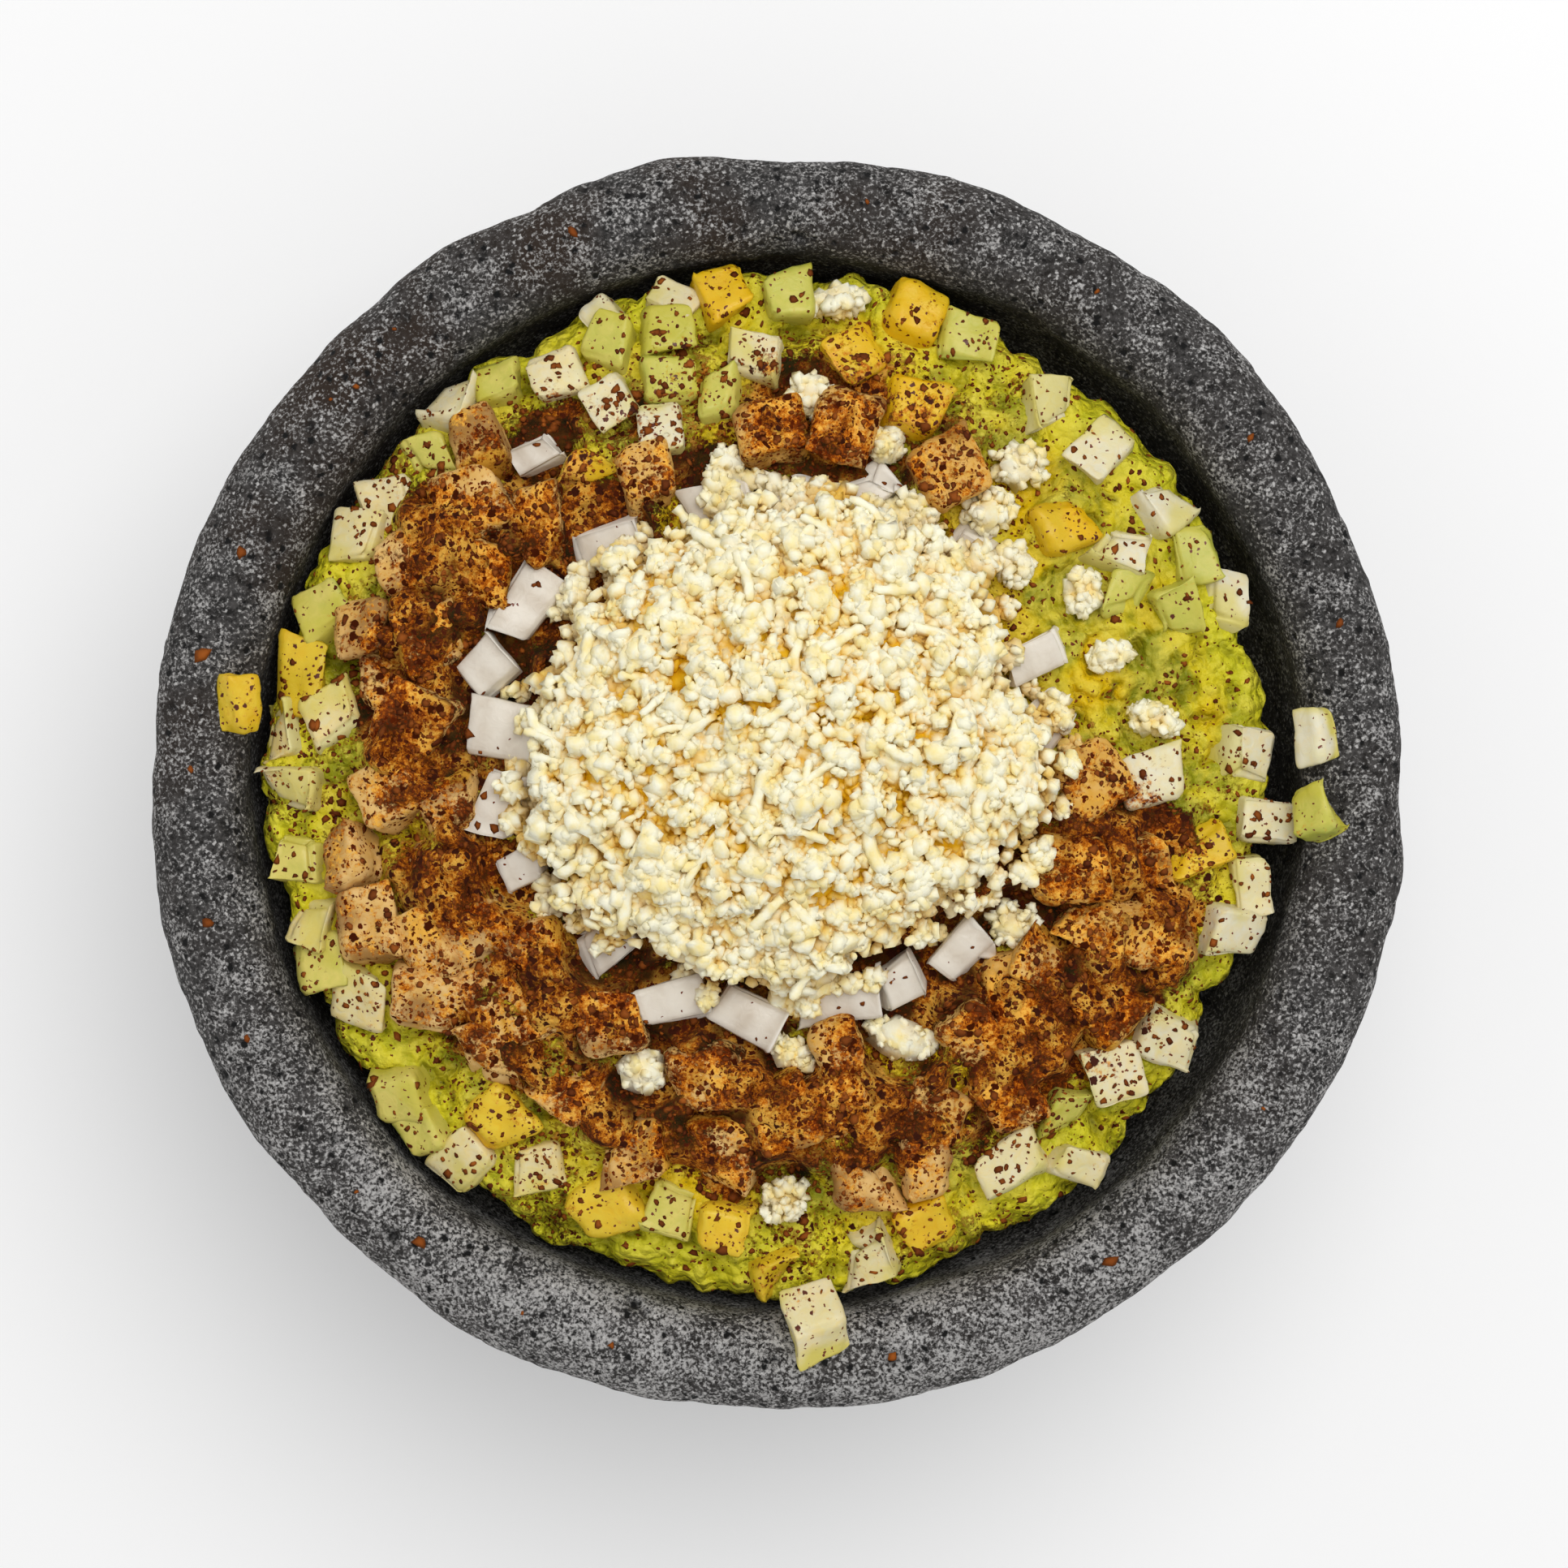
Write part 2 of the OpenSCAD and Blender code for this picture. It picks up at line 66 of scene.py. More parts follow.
# ------------------------------------------------------------------ patterns in space


def lattice(cell: Array, seed: int) -> Array:
    """Gives each whole-number point of space a fixed random number by mixing its bits.

    Args:
        cell: Whole-number points, shape (..., 3).
        seed: Picks one of many such patterns.

    Returns:
        Numbers from 0 to 1, shape (...).
    """
    c = cell.astype(np.int64).astype(np.uint32)
    h = c[..., 0] * np.uint32(374761393) ^ c[..., 1] * np.uint32(668265263)
    h = h ^ c[..., 2] * np.uint32(2246822519) ^ np.uint32(seed * 3266489917 & 0xFFFFFFFF)
    for shift, factor in ((15, 2246822519), (13, 3266489917)):
        h = (h ^ (h >> np.uint32(shift))) * np.uint32(factor)
    return (h ^ (h >> np.uint32(16))).astype(np.float64) / 2.0**32


def noise(p: Array, cell: float, seed: int) -> Array:
    """Smooth noise: lattice values blended by a fifth-power fade between the eight corners.

    Args:
        p: Points in mm, shape (..., 3).
        cell: Lattice spacing in mm.
        seed: Pattern number.

    Returns:
        Values from -1 to 1.
    """
    q = p / cell
    low = np.floor(q)
    f = q - low
    f = f * f * f * (f * (f * 6 - 15) + 10)
    total = np.zeros(p.shape[:-1])
    for corner in np.ndindex(2, 2, 2):
        side = np.array(corner)
        total += np.prod(np.where(side, f, 1 - f), axis=-1) * lattice(low + side, seed)
    return 2 * total - 1


def rough(p: Array, cell: float, octaves: int, seed: int) -> Array:
    """Noise added to itself at half the spacing and half the height, octave by octave."""
    return sum(noise(p, cell / 2**k, seed + k) / 2**k for k in range(octaves))


def cells(p: Array, cell: float, seed: int) -> tuple[Array, Array]:
    """Finds the nearest of a set of scattered seeds, one in each lattice cell.

    Args:
        p: Points in mm, shape (..., 3).
        cell: Lattice spacing in mm.
        seed: Pattern number.

    Returns:
        The distance to the nearest seed in mm, and that seed's own random number.
    """
    low = np.floor(p / cell)
    best = np.full(p.shape[:-1], np.inf)
    mark = np.zeros(p.shape[:-1])
    for step in np.ndindex(3, 3, 3):
        c = low + np.array(step) - 1
        spot = np.stack([lattice(c, seed + k) for k in range(3)], axis=-1)
        d = np.linalg.norm((c + spot) * cell - p, axis=-1)
        near = d < best
        best = np.where(near, d, best)
        mark = np.where(near, lattice(c, seed + 3), mark)
    return best, mark


def lumps(p: Array, cell: float, seed: int) -> Array:
    """Close-set round lumps: one less the square of the distance to the nearest seed."""
    d, _ = cells(p, cell, seed)
    return np.clip(1 - (d / (0.85 * cell)) ** 2, 0, 1)


def knobs(p: Array, cell: float, seed: int) -> Array:
    """Close-set half balls with sharp creases between them: the root of the lumps' height."""
    return np.sqrt(lumps(p, cell, seed))


def smooth(low: float, high: float, x: Array) -> Array:
    """Rises from 0 at low to 1 at high along a cubic that is level at both ends."""
    t = np.clip((x - low) / (high - low), 0, 1)
    return t * t * (3 - 2 * t)


def flat(x: Array, y: Array) -> Array:
    """Puts plan coordinates on the plane z = 0 as points."""
    return np.stack([x, y, np.zeros_like(x)], axis=-1)


def circle(count: int) -> Array:
    """Angles at even steps round a full turn."""
    return np.linspace(0, TURN, count, endpoint=False)


def polar(
    r: float | Array, a: float | Array, x: float | Array = 0.0, y: float | Array = 0.0
) -> tuple[Array, Array]:
    """Plan coordinates at radius r and angle a round a middle."""
    return x + r * np.cos(a), y + r * np.sin(a)


def unit(v: Array) -> Array:
    """Vectors made one long."""
    return v / np.linalg.norm(v, axis=-1, keepdims=True)


# ------------------------------------------------------------------ meshes


def make_object(
    name: str, points: Array, faces: list[Array], layers: dict[str, Array] | None = None
) -> Object:
    """Puts a closed surface into the scene with its faces turned outwards.

    Args:
        name: Name of the piece.
        points: Corners in mm, shape (N, 3).
        faces: Arrays of corner numbers, one array for each count of sides.
        layers: Values for each corner, by attribute name.

    Returns:
        The new object, at the origin.
    """
    volume = 0.0
    for f in faces:
        for k in range(1, f.shape[1] - 1):
            a, b, c = (points[f[:, n]] for n in (0, k, k + 1))
            volume += np.einsum("ij,ij->", a, np.cross(b, c))
    if volume < 0:
        faces = [f[:, ::-1] for f in faces]
    sides = np.concatenate([np.full(len(f), f.shape[1]) for f in faces])
    corners = np.concatenate([f.ravel() for f in faces])
    mesh = bpy.data.meshes.new(name)
    mesh.vertices.add(len(points))
    mesh.vertices.foreach_set("co", (points * MM).astype(np.float32).ravel())
    mesh.loops.add(len(corners))
    mesh.loops.foreach_set("vertex_index", corners.astype(np.int32))
    mesh.polygons.add(len(sides))
    mesh.polygons.foreach_set("loop_start", (np.cumsum(sides) - sides).astype(np.int32))
    mesh.polygons.foreach_set("use_smooth", np.ones(len(sides), bool))
    mesh.update(calc_edges=True)
    mesh.validate()
    for key, values in (layers or {}).items():
        set_layer(mesh, key, values)
    obj = bpy.data.objects.new(name, mesh)
    bpy.context.collection.objects.link(obj)
    return obj


def set_layer(mesh: Mesh, key: str, values: Array) -> None:
    """Stores one number for each corner of a mesh as a named attribute."""
    layer = mesh.attributes.new(key, "FLOAT", "POINT")
    layer.data.foreach_set("value", values.astype(np.float32).ravel())


def read_corners(mesh: Mesh) -> tuple[Array, Array]:
    """Reads the corners of a mesh and their normals.

    Args:
        mesh: The mesh to read.

    Returns:
        Corners in mm and directions out of the surface, each of shape (N, 3).
    """
    p, n = np.empty(len(mesh.vertices) * 3), np.empty(len(mesh.vertices) * 3)
    mesh.vertices.foreach_get("co", p)
    mesh.vertices.foreach_get("normal", n)
    return p.reshape(-1, 3) / MM, n.reshape(-1, 3)


def settle(obj: Object) -> None:
    """Keeps what an object's modifiers make of its mesh, and drops the modifiers.

    Args:
        obj: The object with modifiers.
    """
    view = bpy.context.evaluated_depsgraph_get()
    made = bpy.data.meshes.new_from_object(obj.evaluated_get(view))
    plain = obj.data
    obj.modifiers.clear()
    obj.data = made
    bpy.data.meshes.remove(plain)
    made.name = obj.name
    made.polygons.foreach_set("use_smooth", np.ones(len(made.polygons), bool))


def ring_faces(rows: int, columns: int) -> list[Array]:
    """Faces of a turned surface: rings of corners from one pole to the other.

    Corner 0 is the first pole, then come the rings, and the last corner is the other pole.

    Args:
        rows: Number of rings.
        columns: Corners on a ring.

    Returns:
        Quads between the rings, and the triangles that close the poles.
    """
    here = np.arange(columns)
    after = (here + 1) % columns
    start = 1 + columns * np.arange(rows - 1)[:, None]
    quads = np.stack(
        [start + here, start + after, start + columns + after, start + columns + here], axis=-1
    ).reshape(-1, 4)
    last = 1 + columns * (rows - 1)
    end = np.full(columns, last + columns)
    pole = np.zeros(columns, int)
    caps = np.concatenate(
        [np.stack([pole, 1 + after, 1 + here], -1), np.stack([end, last + here, last + after], -1)]
    )
    return [quads, caps]


def cube_skin(steps: Array) -> tuple[Array, Array]:
    """Grid on the six sides of a cube, with the corners on its edges shared.

    Args:
        steps: Places of the grid lines from -1 to 1.

    Returns:
        Corners, shape (V, 3), and quads that face outwards.
    """
    n = len(steps)
    i, j = np.meshgrid(np.arange(n), np.arange(n), indexing="ij")
    sheets = []
    for axis in range(3):
        for side in (0, n - 1):
            k = np.empty((n, n, 3), int)
            k[..., axis] = side
            k[..., (axis + 1) % 3] = i
            k[..., (axis + 2) % 3] = j
            sheets.append(k if side else k.swapaxes(0, 1))
    every = np.stack(sheets)
    corners, which = np.unique(every.reshape(-1, 3), axis=0, return_inverse=True)
    w = which.reshape(6, n, n)
    quads = np.stack([w[:, :-1, :-1], w[:, 1:, :-1], w[:, 1:, 1:], w[:, :-1, 1:]], axis=-1)
    return steps[corners], quads.reshape(-1, 4)


def copies(quads: Array, corners: int, count: int) -> Array:
    """Repeats the faces of one shape for a number of shapes that follow each other."""
    return (quads[None] + corners * np.arange(count)[:, None, None]).reshape(-1, quads.shape[1])


def random_turns(rng: Rng, count: int) -> Array:
    """Rotation matrices of random directions, from random unit quaternions.

    Args:
        rng: Source of the directions.
        count: Number of matrices.

    Returns:
        Matrices, shape (count, 3, 3).
    """
    w, x, y, z = unit(rng.normal(size=(count, 4))).T
    rows = [
        [1 - 2 * (y * y + z * z), 2 * (x * y - z * w), 2 * (x * z + y * w)],
        [2 * (x * y + z * w), 1 - 2 * (x * x + z * z), 2 * (y * z - x * w)],
        [2 * (x * z - y * w), 2 * (y * z + x * w), 1 - 2 * (x * x + y * y)],
    ]
    return np.moveaxis(np.array(rows), -1, 0)


@dataclass(frozen=True)
class Solid:
    """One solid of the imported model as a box: middle, three directions and half sizes, in mm."""

    middle: Array
    axes: Array
    half: Array

    def away(self, x: Array, y: Array) -> Array:
        """How far plan points lie from the middle, in half diagonals of the box's plan."""
        return np.hypot(x - self.middle[0], y - self.middle[1]) / np.hypot(*self.half[:2])


def read_solids(node: Object) -> list[Solid]:
    """Finds the separate solids of a node and the box that each one fills.

    Corners at one place are merged, triangles that share corners take the lowest label among
    them until nothing changes, and a box's directions are its two largest face directions,
    square to each other, and their cross product. The third direction is the upright one.

    Args:
        node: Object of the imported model.

    Returns:
        One box for each solid.
    """
    mesh = node.data
    mesh.calc_loop_triangles()
    triangles = np.empty(len(mesh.loop_triangles) * 3, np.int32)
    mesh.loop_triangles.foreach_get("vertices", triangles)
    points = np.round(read_corners(mesh)[0], 2)
    spots, merged = np.unique(points, axis=0, return_inverse=True)
    corners = merged.ravel()[triangles.reshape(-1, 3)]
    label = np.arange(len(spots))
    while True:
        low = label[corners].min(axis=1)
        lower = label.copy()
        np.minimum.at(lower, corners.ravel(), np.repeat(low, 3))
        lower = lower[lower]
        if np.array_equal(lower, label):
            break
        label = lower
    owner = label[corners[:, 0]]
    aslant = np.array([0.31, 0.47, 0.83])  # square to no side of a box
    found = []
    for each in np.unique(owner):
        tri = spots[corners[owner == each]]
        cross = np.cross(tri[:, 1] - tri[:, 0], tri[:, 2] - tri[:, 0])
        area = np.linalg.norm(cross, axis=1)
        keep = area > 1e-6
        normal = cross[keep] / area[keep, None]
        normal *= np.where(normal @ aslant < 0, -1, 1)[:, None]
        share = (np.abs(normal @ normal.T) > 0.995) @ area[keep]
        one = normal[share.argmax()]
        two = normal[np.where(np.abs(normal @ one) < 0.3, share, -1).argmax()]
        two = unit(two - one * (one @ two))
        axes = np.stack([one, two, np.cross(one, two)])
        axes = np.roll(axes, 2 - int(np.abs(axes[:, 2]).argmax()), axis=0)
        axes = axes * (1 if axes[2, 2] > 0 else -1)
        axes[1] = np.cross(axes[2], axes[0])
        reach = tri.reshape(-1, 3) @ axes.T
        lo, hi = reach.min(axis=0), reach.max(axis=0)
        found.append(Solid((lo + hi) / 2 @ axes, axes, (hi - lo) / 2))
    return found


def solids_of(*nodes: str) -> list[Solid]:
    """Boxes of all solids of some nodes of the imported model."""
    return [solid for node in nodes for solid in read_solids(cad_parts[node])]


def land(food: list[Object], x: Array, y: Array) -> tuple[Array, Array, Array]:
    """Drops straight down on the food from above and finds what is hit first.

    Args:
        food: Pieces that can be hit.
        x: Places to the right in mm.
        y: Places to the back in mm.

    Returns:
        Points hit in mm, the directions out of the surface there, and the number of the piece
        that was hit, or -1 where there is none.
    """
    view = bpy.context.evaluated_depsgraph_get()
    trees = [BVHTree.FromObject(obj, view) for obj in food]
    spots, normals = np.zeros((2, len(x), 3))
    which = np.full(len(x), -1)
    down = Vector((0, 0, -1))
    for k, (px, py) in enumerate(zip(x * MM, y * MM)):
        above = Vector((px, py, DROP_M))
        hits = [(tree.ray_cast(above, down), n) for n, tree in enumerate(trees)]
        hits = [(h, n) for h, n in hits if h[0] is not None]
        if hits:
            best, which[k] = max(hits, key=lambda h: h[0][0].z)
            spots[k], normals[k] = np.array(best[0]) / MM, best[1]
    return spots, normals, which


def rounded_boxes(
    boxes: list[Solid], edge: Array, cut: int, skew: float, rng: Rng
) -> tuple[Array, Array, Array, Array]:
    """Hand-cut dice: boxes with rounded edges whose eight corners are moved a little.

    A point of the cube's skin is the nearest point of a smaller inner box plus the edge radius
    along the way out. The corners' shifts, one of them a chip off a corner, are blended across
    the box in three directions, and the upright sides lean by a share of the height.

    Args:
        boxes: The boxes to fill.
        edge: Edge radius of each box in mm.
        cut: Number of steps across the flat of a side.
        skew: Largest shift of a corner, as a share of the size.
        rng: Source of the shifts.

    Returns:
        Points (D, V, 3), outward directions (D, V, 3), skin places (V, 3) and quads.
    """
    bend = 0.5
    outer = np.array([0.65, 0.82, 1.0])
    steps = np.concatenate([-outer[::-1], np.linspace(-bend, bend, cut + 1), outer])
    skin, quads = cube_skin(steps)
    half = np.stack([b.half for b in boxes])
    axes = np.stack([b.axes for b in boxes])
    middle = np.stack([b.middle for b in boxes])
    out = unit(np.sign(skin) * np.maximum(0, (np.abs(skin) - bend) / (1 - bend)))
    edge = np.minimum(edge[:, None], 0.8 * half)
    local = (half - edge)[:, None] * np.clip(skin / bend, -1, 1) + edge[:, None] * out
    t = (skin + 1) / 2
    sides = np.array(list(np.ndindex(2, 2, 2)))
    weight = np.prod(np.where(sides[None], t[:, None], 1 - t[:, None]), axis=-1)
    count = len(boxes)
    shift = rng.uniform(-1, 1, (count, 8, 3)) * skew
    chip = rng.integers(0, 8, count)
    chipped = (2 * sides[chip] - 1) * rng.uniform(0, 3.2 * skew, (count, 1))
    shift[np.arange(count), chip] -= chipped
    local = local + np.einsum("vc,dck->dvk", weight, shift * 2 * half[:, None])
    lean = rng.uniform(-1, 1, (count, 1, 2)) * 1.2 * skew
    local[..., :2] += lean * local[..., 2:]
    points = middle[:, None] + np.einsum("dvk,dkj->dvj", local, axes)
    outward = np.einsum("vk,dkj->dvj", out, axes)
    return points, outward, skin, quads


def put(obj: Object, finish: Material, body: str, slot: str, *nodes: str) -> Object:
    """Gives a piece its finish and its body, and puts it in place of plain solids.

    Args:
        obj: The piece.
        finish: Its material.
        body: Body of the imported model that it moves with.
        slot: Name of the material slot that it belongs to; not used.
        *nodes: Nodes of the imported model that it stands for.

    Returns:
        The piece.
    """
    obj.data.materials.append(finish)
    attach(obj, body)
    if nodes:
        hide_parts(*nodes)
    return obj


# ------------------------------------------------------------------ nodes and finishes


def linear(code: str) -> tuple[float, float, float, float]:
    """Turns an sRGB hex colour into linear light.

    Args:
        code: Colour such as #a0b0c0.

    Returns:
        Red, green, blue and alpha.
    """
    parts = [int(code[k : k + 2], 16) / 255 for k in (1, 3, 5)]
    rgb = [c / 12.92 if c <= 0.04045 else ((c + 0.055) / 1.055) ** 2.4 for c in parts]
    return (*rgb, 1.0)


def spaced(at: Socket, size: float) -> dict:
    """Inputs of a texture on metre coordinates whose features are this many mm apart."""
    return {"Vector": at, "Scale": 1 / (size * MM)}


def add_node(
    tree: bpy.types.NodeTree, kind: str, inputs: dict | None = None, out: int | str = 0,
    **settings: object,
) -> Socket | None:  # fmt: skip
    """Adds a node with its settings, values and links.

    Args:
        tree: Node tree that takes the node.
        kind: Blender's name for the type of node, without ShaderNode before it.
        inputs: A value, or an output to link, for each input by its name or number.
        out: Output to return, by its name or number.
        **settings: Properties of the node.

    Returns:
        The chosen output, or none where the node has no output.
    """
    node = tree.nodes.new("ShaderNode" + kind)
    for key, value in settings.items():
        setattr(node, key, value)
    for key, value in (inputs or {}).items():
        if isinstance(value, Socket):
            tree.links.new(value, node.inputs[key])
        else:
            node.inputs[key].default_value = value
    return node.outputs[out] if len(node.outputs) else None


def new_material(name: str, *layers: str) -> tuple[Material, Adder, Socket, list[Socket]]:
    """Makes an empty node material.

    Args:
        name: Name of the stuff.
        *layers: Attributes of the surface that the material reads.

    Returns:
        The material, the function that adds a node to it, the object coordinates in metres,
        and the attributes.
    """
    material = bpy.data.materials.new(name)
    material.use_nodes = True
    material.node_tree.nodes.clear()
    add = partial(add_node, material.node_tree)
    read = [add("Attribute", out="Fac", attribute_name=key) for key in layers]
    return material, add, add("TexCoord", out="Object"), read


def paint(add: Adder, colour: Socket | tuple, coats: tuple[tuple[Socket, str], ...]) -> Socket:
    """Lays coats of colour over a colour, one after another.

    Args:
        add: Adds a node to the material.
        colour: Colour under the coats.
        coats: How much of each coat there is at a point, and its sRGB colour.

    Returns:
        The painted colour.
    """
    for cover, shade in coats:
        colour = add("Mix", {FACTOR: cover, UNDER: colour, OVER: linear(shade)}, **COLOURS)
    return colour


def wandering(add: Adder, at: Socket, size: float, reach: float) -> Socket:
    """Coordinates moved about by noise, so that what is drawn on them has ragged outlines.

    Args:
        add: Adds a node to the material.
        at: Object coordinates.
        size: Size of the noise in mm.
        reach: How far a point moves in mm.

    Returns:
        The moved coordinates.
    """
    bent = add("TexNoise", spaced(at, size), out="Color")
    wander = add("VectorMath", {0: bent, "Scale": reach * MM}, operation="SCALE")
    return add("VectorMath", {0: at, 1: wander}, operation="ADD")


def specks(
    add: Adder, at: Socket, size: float, share: float | Socket, rim: tuple[float, float],
    most: float = 1.0, ease: str = "LINEAR",
) -> Socket:  # fmt: skip
    """Scatters specks: some cells of a scattered pattern, each filled around its middle.

    Args:
        add: Adds a node to the material.
        at: Coordinates of the pattern.
        size: Spacing of the cells in mm.
        share: Share of the cells that hold a speck.
        rim: Distances from the middle, in cells, at which a speck begins and is full.
        most: How much a full speck shows.
        ease: How its edge rises.

    Returns:
        How much of a speck there is at each point.
    """
    far = add("TexVoronoi", spaced(at, size))
    pick = add("SeparateColor", {0: far.node.outputs["Color"]})
    chosen = add("Math", {0: pick, 1: share}, operation="LESS_THAN")
    span = {"Value": far, "From Min": rim[0], "From Max": rim[1], "To Max": most}
    body = add("MapRange", span, interpolation_type=ease)
    return add("Math", {0: chosen, 1: body}, operation="MULTIPLY")


def close(add: Adder, height: Socket, strength: float, depth: float, inputs: dict) -> None:
    """Ends a material with its fine relief, its shader and its output.

    Args:
        add: Adds a node to the material.
        height: Height of the relief.
        strength: How strongly the relief shows.
        depth: Depth of the relief in mm.
        inputs: Values and links of the shader.
    """
    bump = add("Bump", {"Strength": strength, "Distance": depth * MM, "Height": height})
    add("OutputMaterial", {"Surface": add("BsdfPrincipled", {**inputs, "Normal": bump})})


@dataclass(frozen=True)
class ChilliPowder:
    """Ground chilli with grains: caramel where thin, chocolate where thick, with painted shade in
    valleys.
    """

    lace_mm: float = 0.9
    patch_mm: float = 3.4
    warm_mm: float = 0.85
    drift_mm: float = 5.5
    tones: tuple[tuple[float, str], ...] = ((0.3, "#7e2e00"), (0.6, "#c66e0e"))
    ends: tuple[str, str] = ("#481600", "#f0b44a")
    # Colours of thick powder with painted shade in valleys and crevices, darkest first.
    shaded_thick_powder: tuple[str, str] = ("#0a0200", "#4a1a02")
    # Grains by size in mm, the least dust that has them, their largest share, and their shade.
    grains: tuple[tuple[float, float, float, str], ...] = (
        (0.6, 0.0, 0.5, "#6a2804"), (1.2, 0.2, 0.42, "#541c02"), (2.0, 0.3, 0.4, "#3e1402"),
    )  # fmt: skip

    def coat(self, add: Adder, at: Socket, colour: Socket) -> tuple[Socket, Socket]:
        """Lays the powder over a colour, as thick as the surface's dust attribute says.

        Fine powder covers the surface like lace, is dark where the deep attribute marks valleys and
        crevices, which hold thick powder and painted shade, and carries coarser grains.

        Args:
            add: Adds a node to the material.
            at: Object coordinates.
            colour: Colour of the bare surface.

        Returns:
            The coated colour, and how much chilli lies at each point.
        """
        dust, deep = (add("Attribute", out="Fac", attribute_name=key) for key in ("dust", "deep"))
        lace = add("TexNoise", {**spaced(at, self.lace_mm), "Detail": 5.0, "Roughness": 0.7})
        patch = add("TexNoise", {**spaced(at, self.patch_mm), "Detail": 3.0})
        lie = add("Mix", {FACTOR: 0.35, FIRST: lace, SECOND: patch})
        low = add("MapRange", {"Value": dust, "To Min": 0.68, "To Max": 0.27})
        high = add("Math", {0: low, 1: 0.13}, operation="ADD")
        span = {"Value": lie, "From Min": low, "From Max": high, "To Max": 0.97}
        stain = add("MapRange", span, interpolation_type="SMOOTHSTEP")
        warm = add("TexNoise", {**spaced(at, self.warm_mm), "Detail": 6.0, "Roughness": 0.8})
        drift = add("TexNoise", {**spaced(at, self.drift_mm), "Detail": 3.0})
        warmth = add("Mix", {FACTOR: 0.5, FIRST: warm, SECOND: drift})
        warmth = add("MapRange", {"Value": warmth, "From Min": 0.41, "From Max": 0.57})
        tones = add("ValToRGB", {0: warmth})
        stops = tones.node.color_ramp.elements
        for place, shade in self.tones:
            stops.new(place).color = linear(shade)
        stops[0].color, stops[len(stops) - 1].color = (linear(shade) for shade in self.ends)
        # Painted shade: near black where the deep attribute marks valleys and crevices.
        shaded_thick_powder = paint(add, linear(self.shaded_thick_powder[0]), ((warmth, self.shaded_thick_powder[1]),))
        powder = add("Mix", {FACTOR: deep, UNDER: tones, OVER: shaded_thick_powder}, **COLOURS)
        coated = add("Mix", {FACTOR: stain, UNDER: colour, OVER: powder}, **COLOURS)
        moved = wandering(add, at, 0.8, 1.1)
        for size, least, most, shade in self.grains:
            share = add("MapRange", {"Value": dust, "From Min": least, "To Max": most})
            mask = specks(add, moved, size, share, (0.42, 0.33), ease="SMOOTHSTEP")
            coated = paint(add, coated, ((mask, shade),))
        height = add("Math", {0: stain, 1: mask}, operation="MAXIMUM")
        return coated, add("Math", {0: height, 1: lace}, operation="MULTIPLY")


@dataclass(frozen=True)
class HewnBasalt:
    """Vesicular basalt, hewn and rubbed: charcoal ground, pale mineral streaks, pores painted black
    as shade.
    """

    ground: str = "#191817"
    grey: str = "#4e4c4b"
    fleck: str = "#b9b7b5"
    crystal: str = "#d2d0ce"
    brown: str = "#2e231b"
    # Near black of painted shade, in the pores and over the hollow's face.
    pore: str = "#080808"
    grain_mm: float = 1.1
    fleck_mm: float = 0.55
    crystal_mm: float = 1.0
    pore_mm: float = 2.6
    cloud_mm: float = 18.0
    patch_mm: float = 5.5

    def make(self) -> Material:
        """Builds the material: dull all over, with salt-and-pepper grain and open pores.

        Returns:
            The finish.
        """
        material, add, at, (brighter_front, brown_side, pit_and_hollow_shade) = new_material(
            "hewn basalt", "brighter_front", "brown_side", "pit_and_hollow_shade"
        )
        grain = add("TexNoise", {**spaced(at, self.grain_mm), "Detail": 6.0, "Roughness": 0.75})
        tone = add("MapRange", {"Value": grain, "From Min": 0.38, "From Max": 0.6})
        cloud = add("TexNoise", {**spaced(at, self.cloud_mm), "Detail": 3.0})
        span = {"Value": cloud, "From Min": 0.4, "From Max": 0.65, "To Max": 0.9}
        # Browner towards the left back of the rim.
        tint = add("Math", {0: add("MapRange", span), 1: brown_side}, operation="MULTIPLY")
        fine = {"Detail": 5.0, "Roughness": 0.62, "Distortion": 0.4}
        streak = add("TexNoise", {**spaced(at, self.fleck_mm), **fine})
        patch = add("TexNoise", {**spaced(at, self.patch_mm), "Detail": 2.0})
        span = {"Value": patch, "From Min": 0.3, "From Max": 0.7, "To Min": 0.58, "To Max": 0.46}
        # More pale flecks towards the front of the rim, which is brighter there.
        rare = {0: brighter_front, 1: -0.07, 2: add("MapRange", span)}
        bare = add("Math", rare, operation="MULTIPLY_ADD")
        full = add("Math", {0: bare, 1: 0.16}, operation="ADD")
        span = {"Value": streak, "From Min": bare, "From Max": full, "To Max": 0.95}
        flecks = add("MapRange", span)
        moved = wandering(add, at, 0.7, 1.0)
        bright = specks(add, moved, self.crystal_mm, 0.3, (0.34, 0.16), most=0.75)
        # Painted shade: pores, and the hollow's face, take the near-black pore colour.
        pores = specks(add, moved, self.pore_mm, 0.6, (0.27, 0.15))
        dark = add("Math", {0: pores, 1: pit_and_hollow_shade}, operation="MAXIMUM")
        coats = (
            (tone, self.grey), (tint, self.brown), (flecks, self.fleck),
            (bright, self.crystal), (dark, self.pore),
        )  # fmt: skip
        colour = paint(add, linear(self.ground), coats)
        relief = add("Math", {0: grain, 1: dark}, operation="SUBTRACT")
        look = {"Base Color": colour, "Roughness": 0.8, "Specular IOR Level": 0.2}
        close(add, relief, 0.8, 0.6, look)
        return material


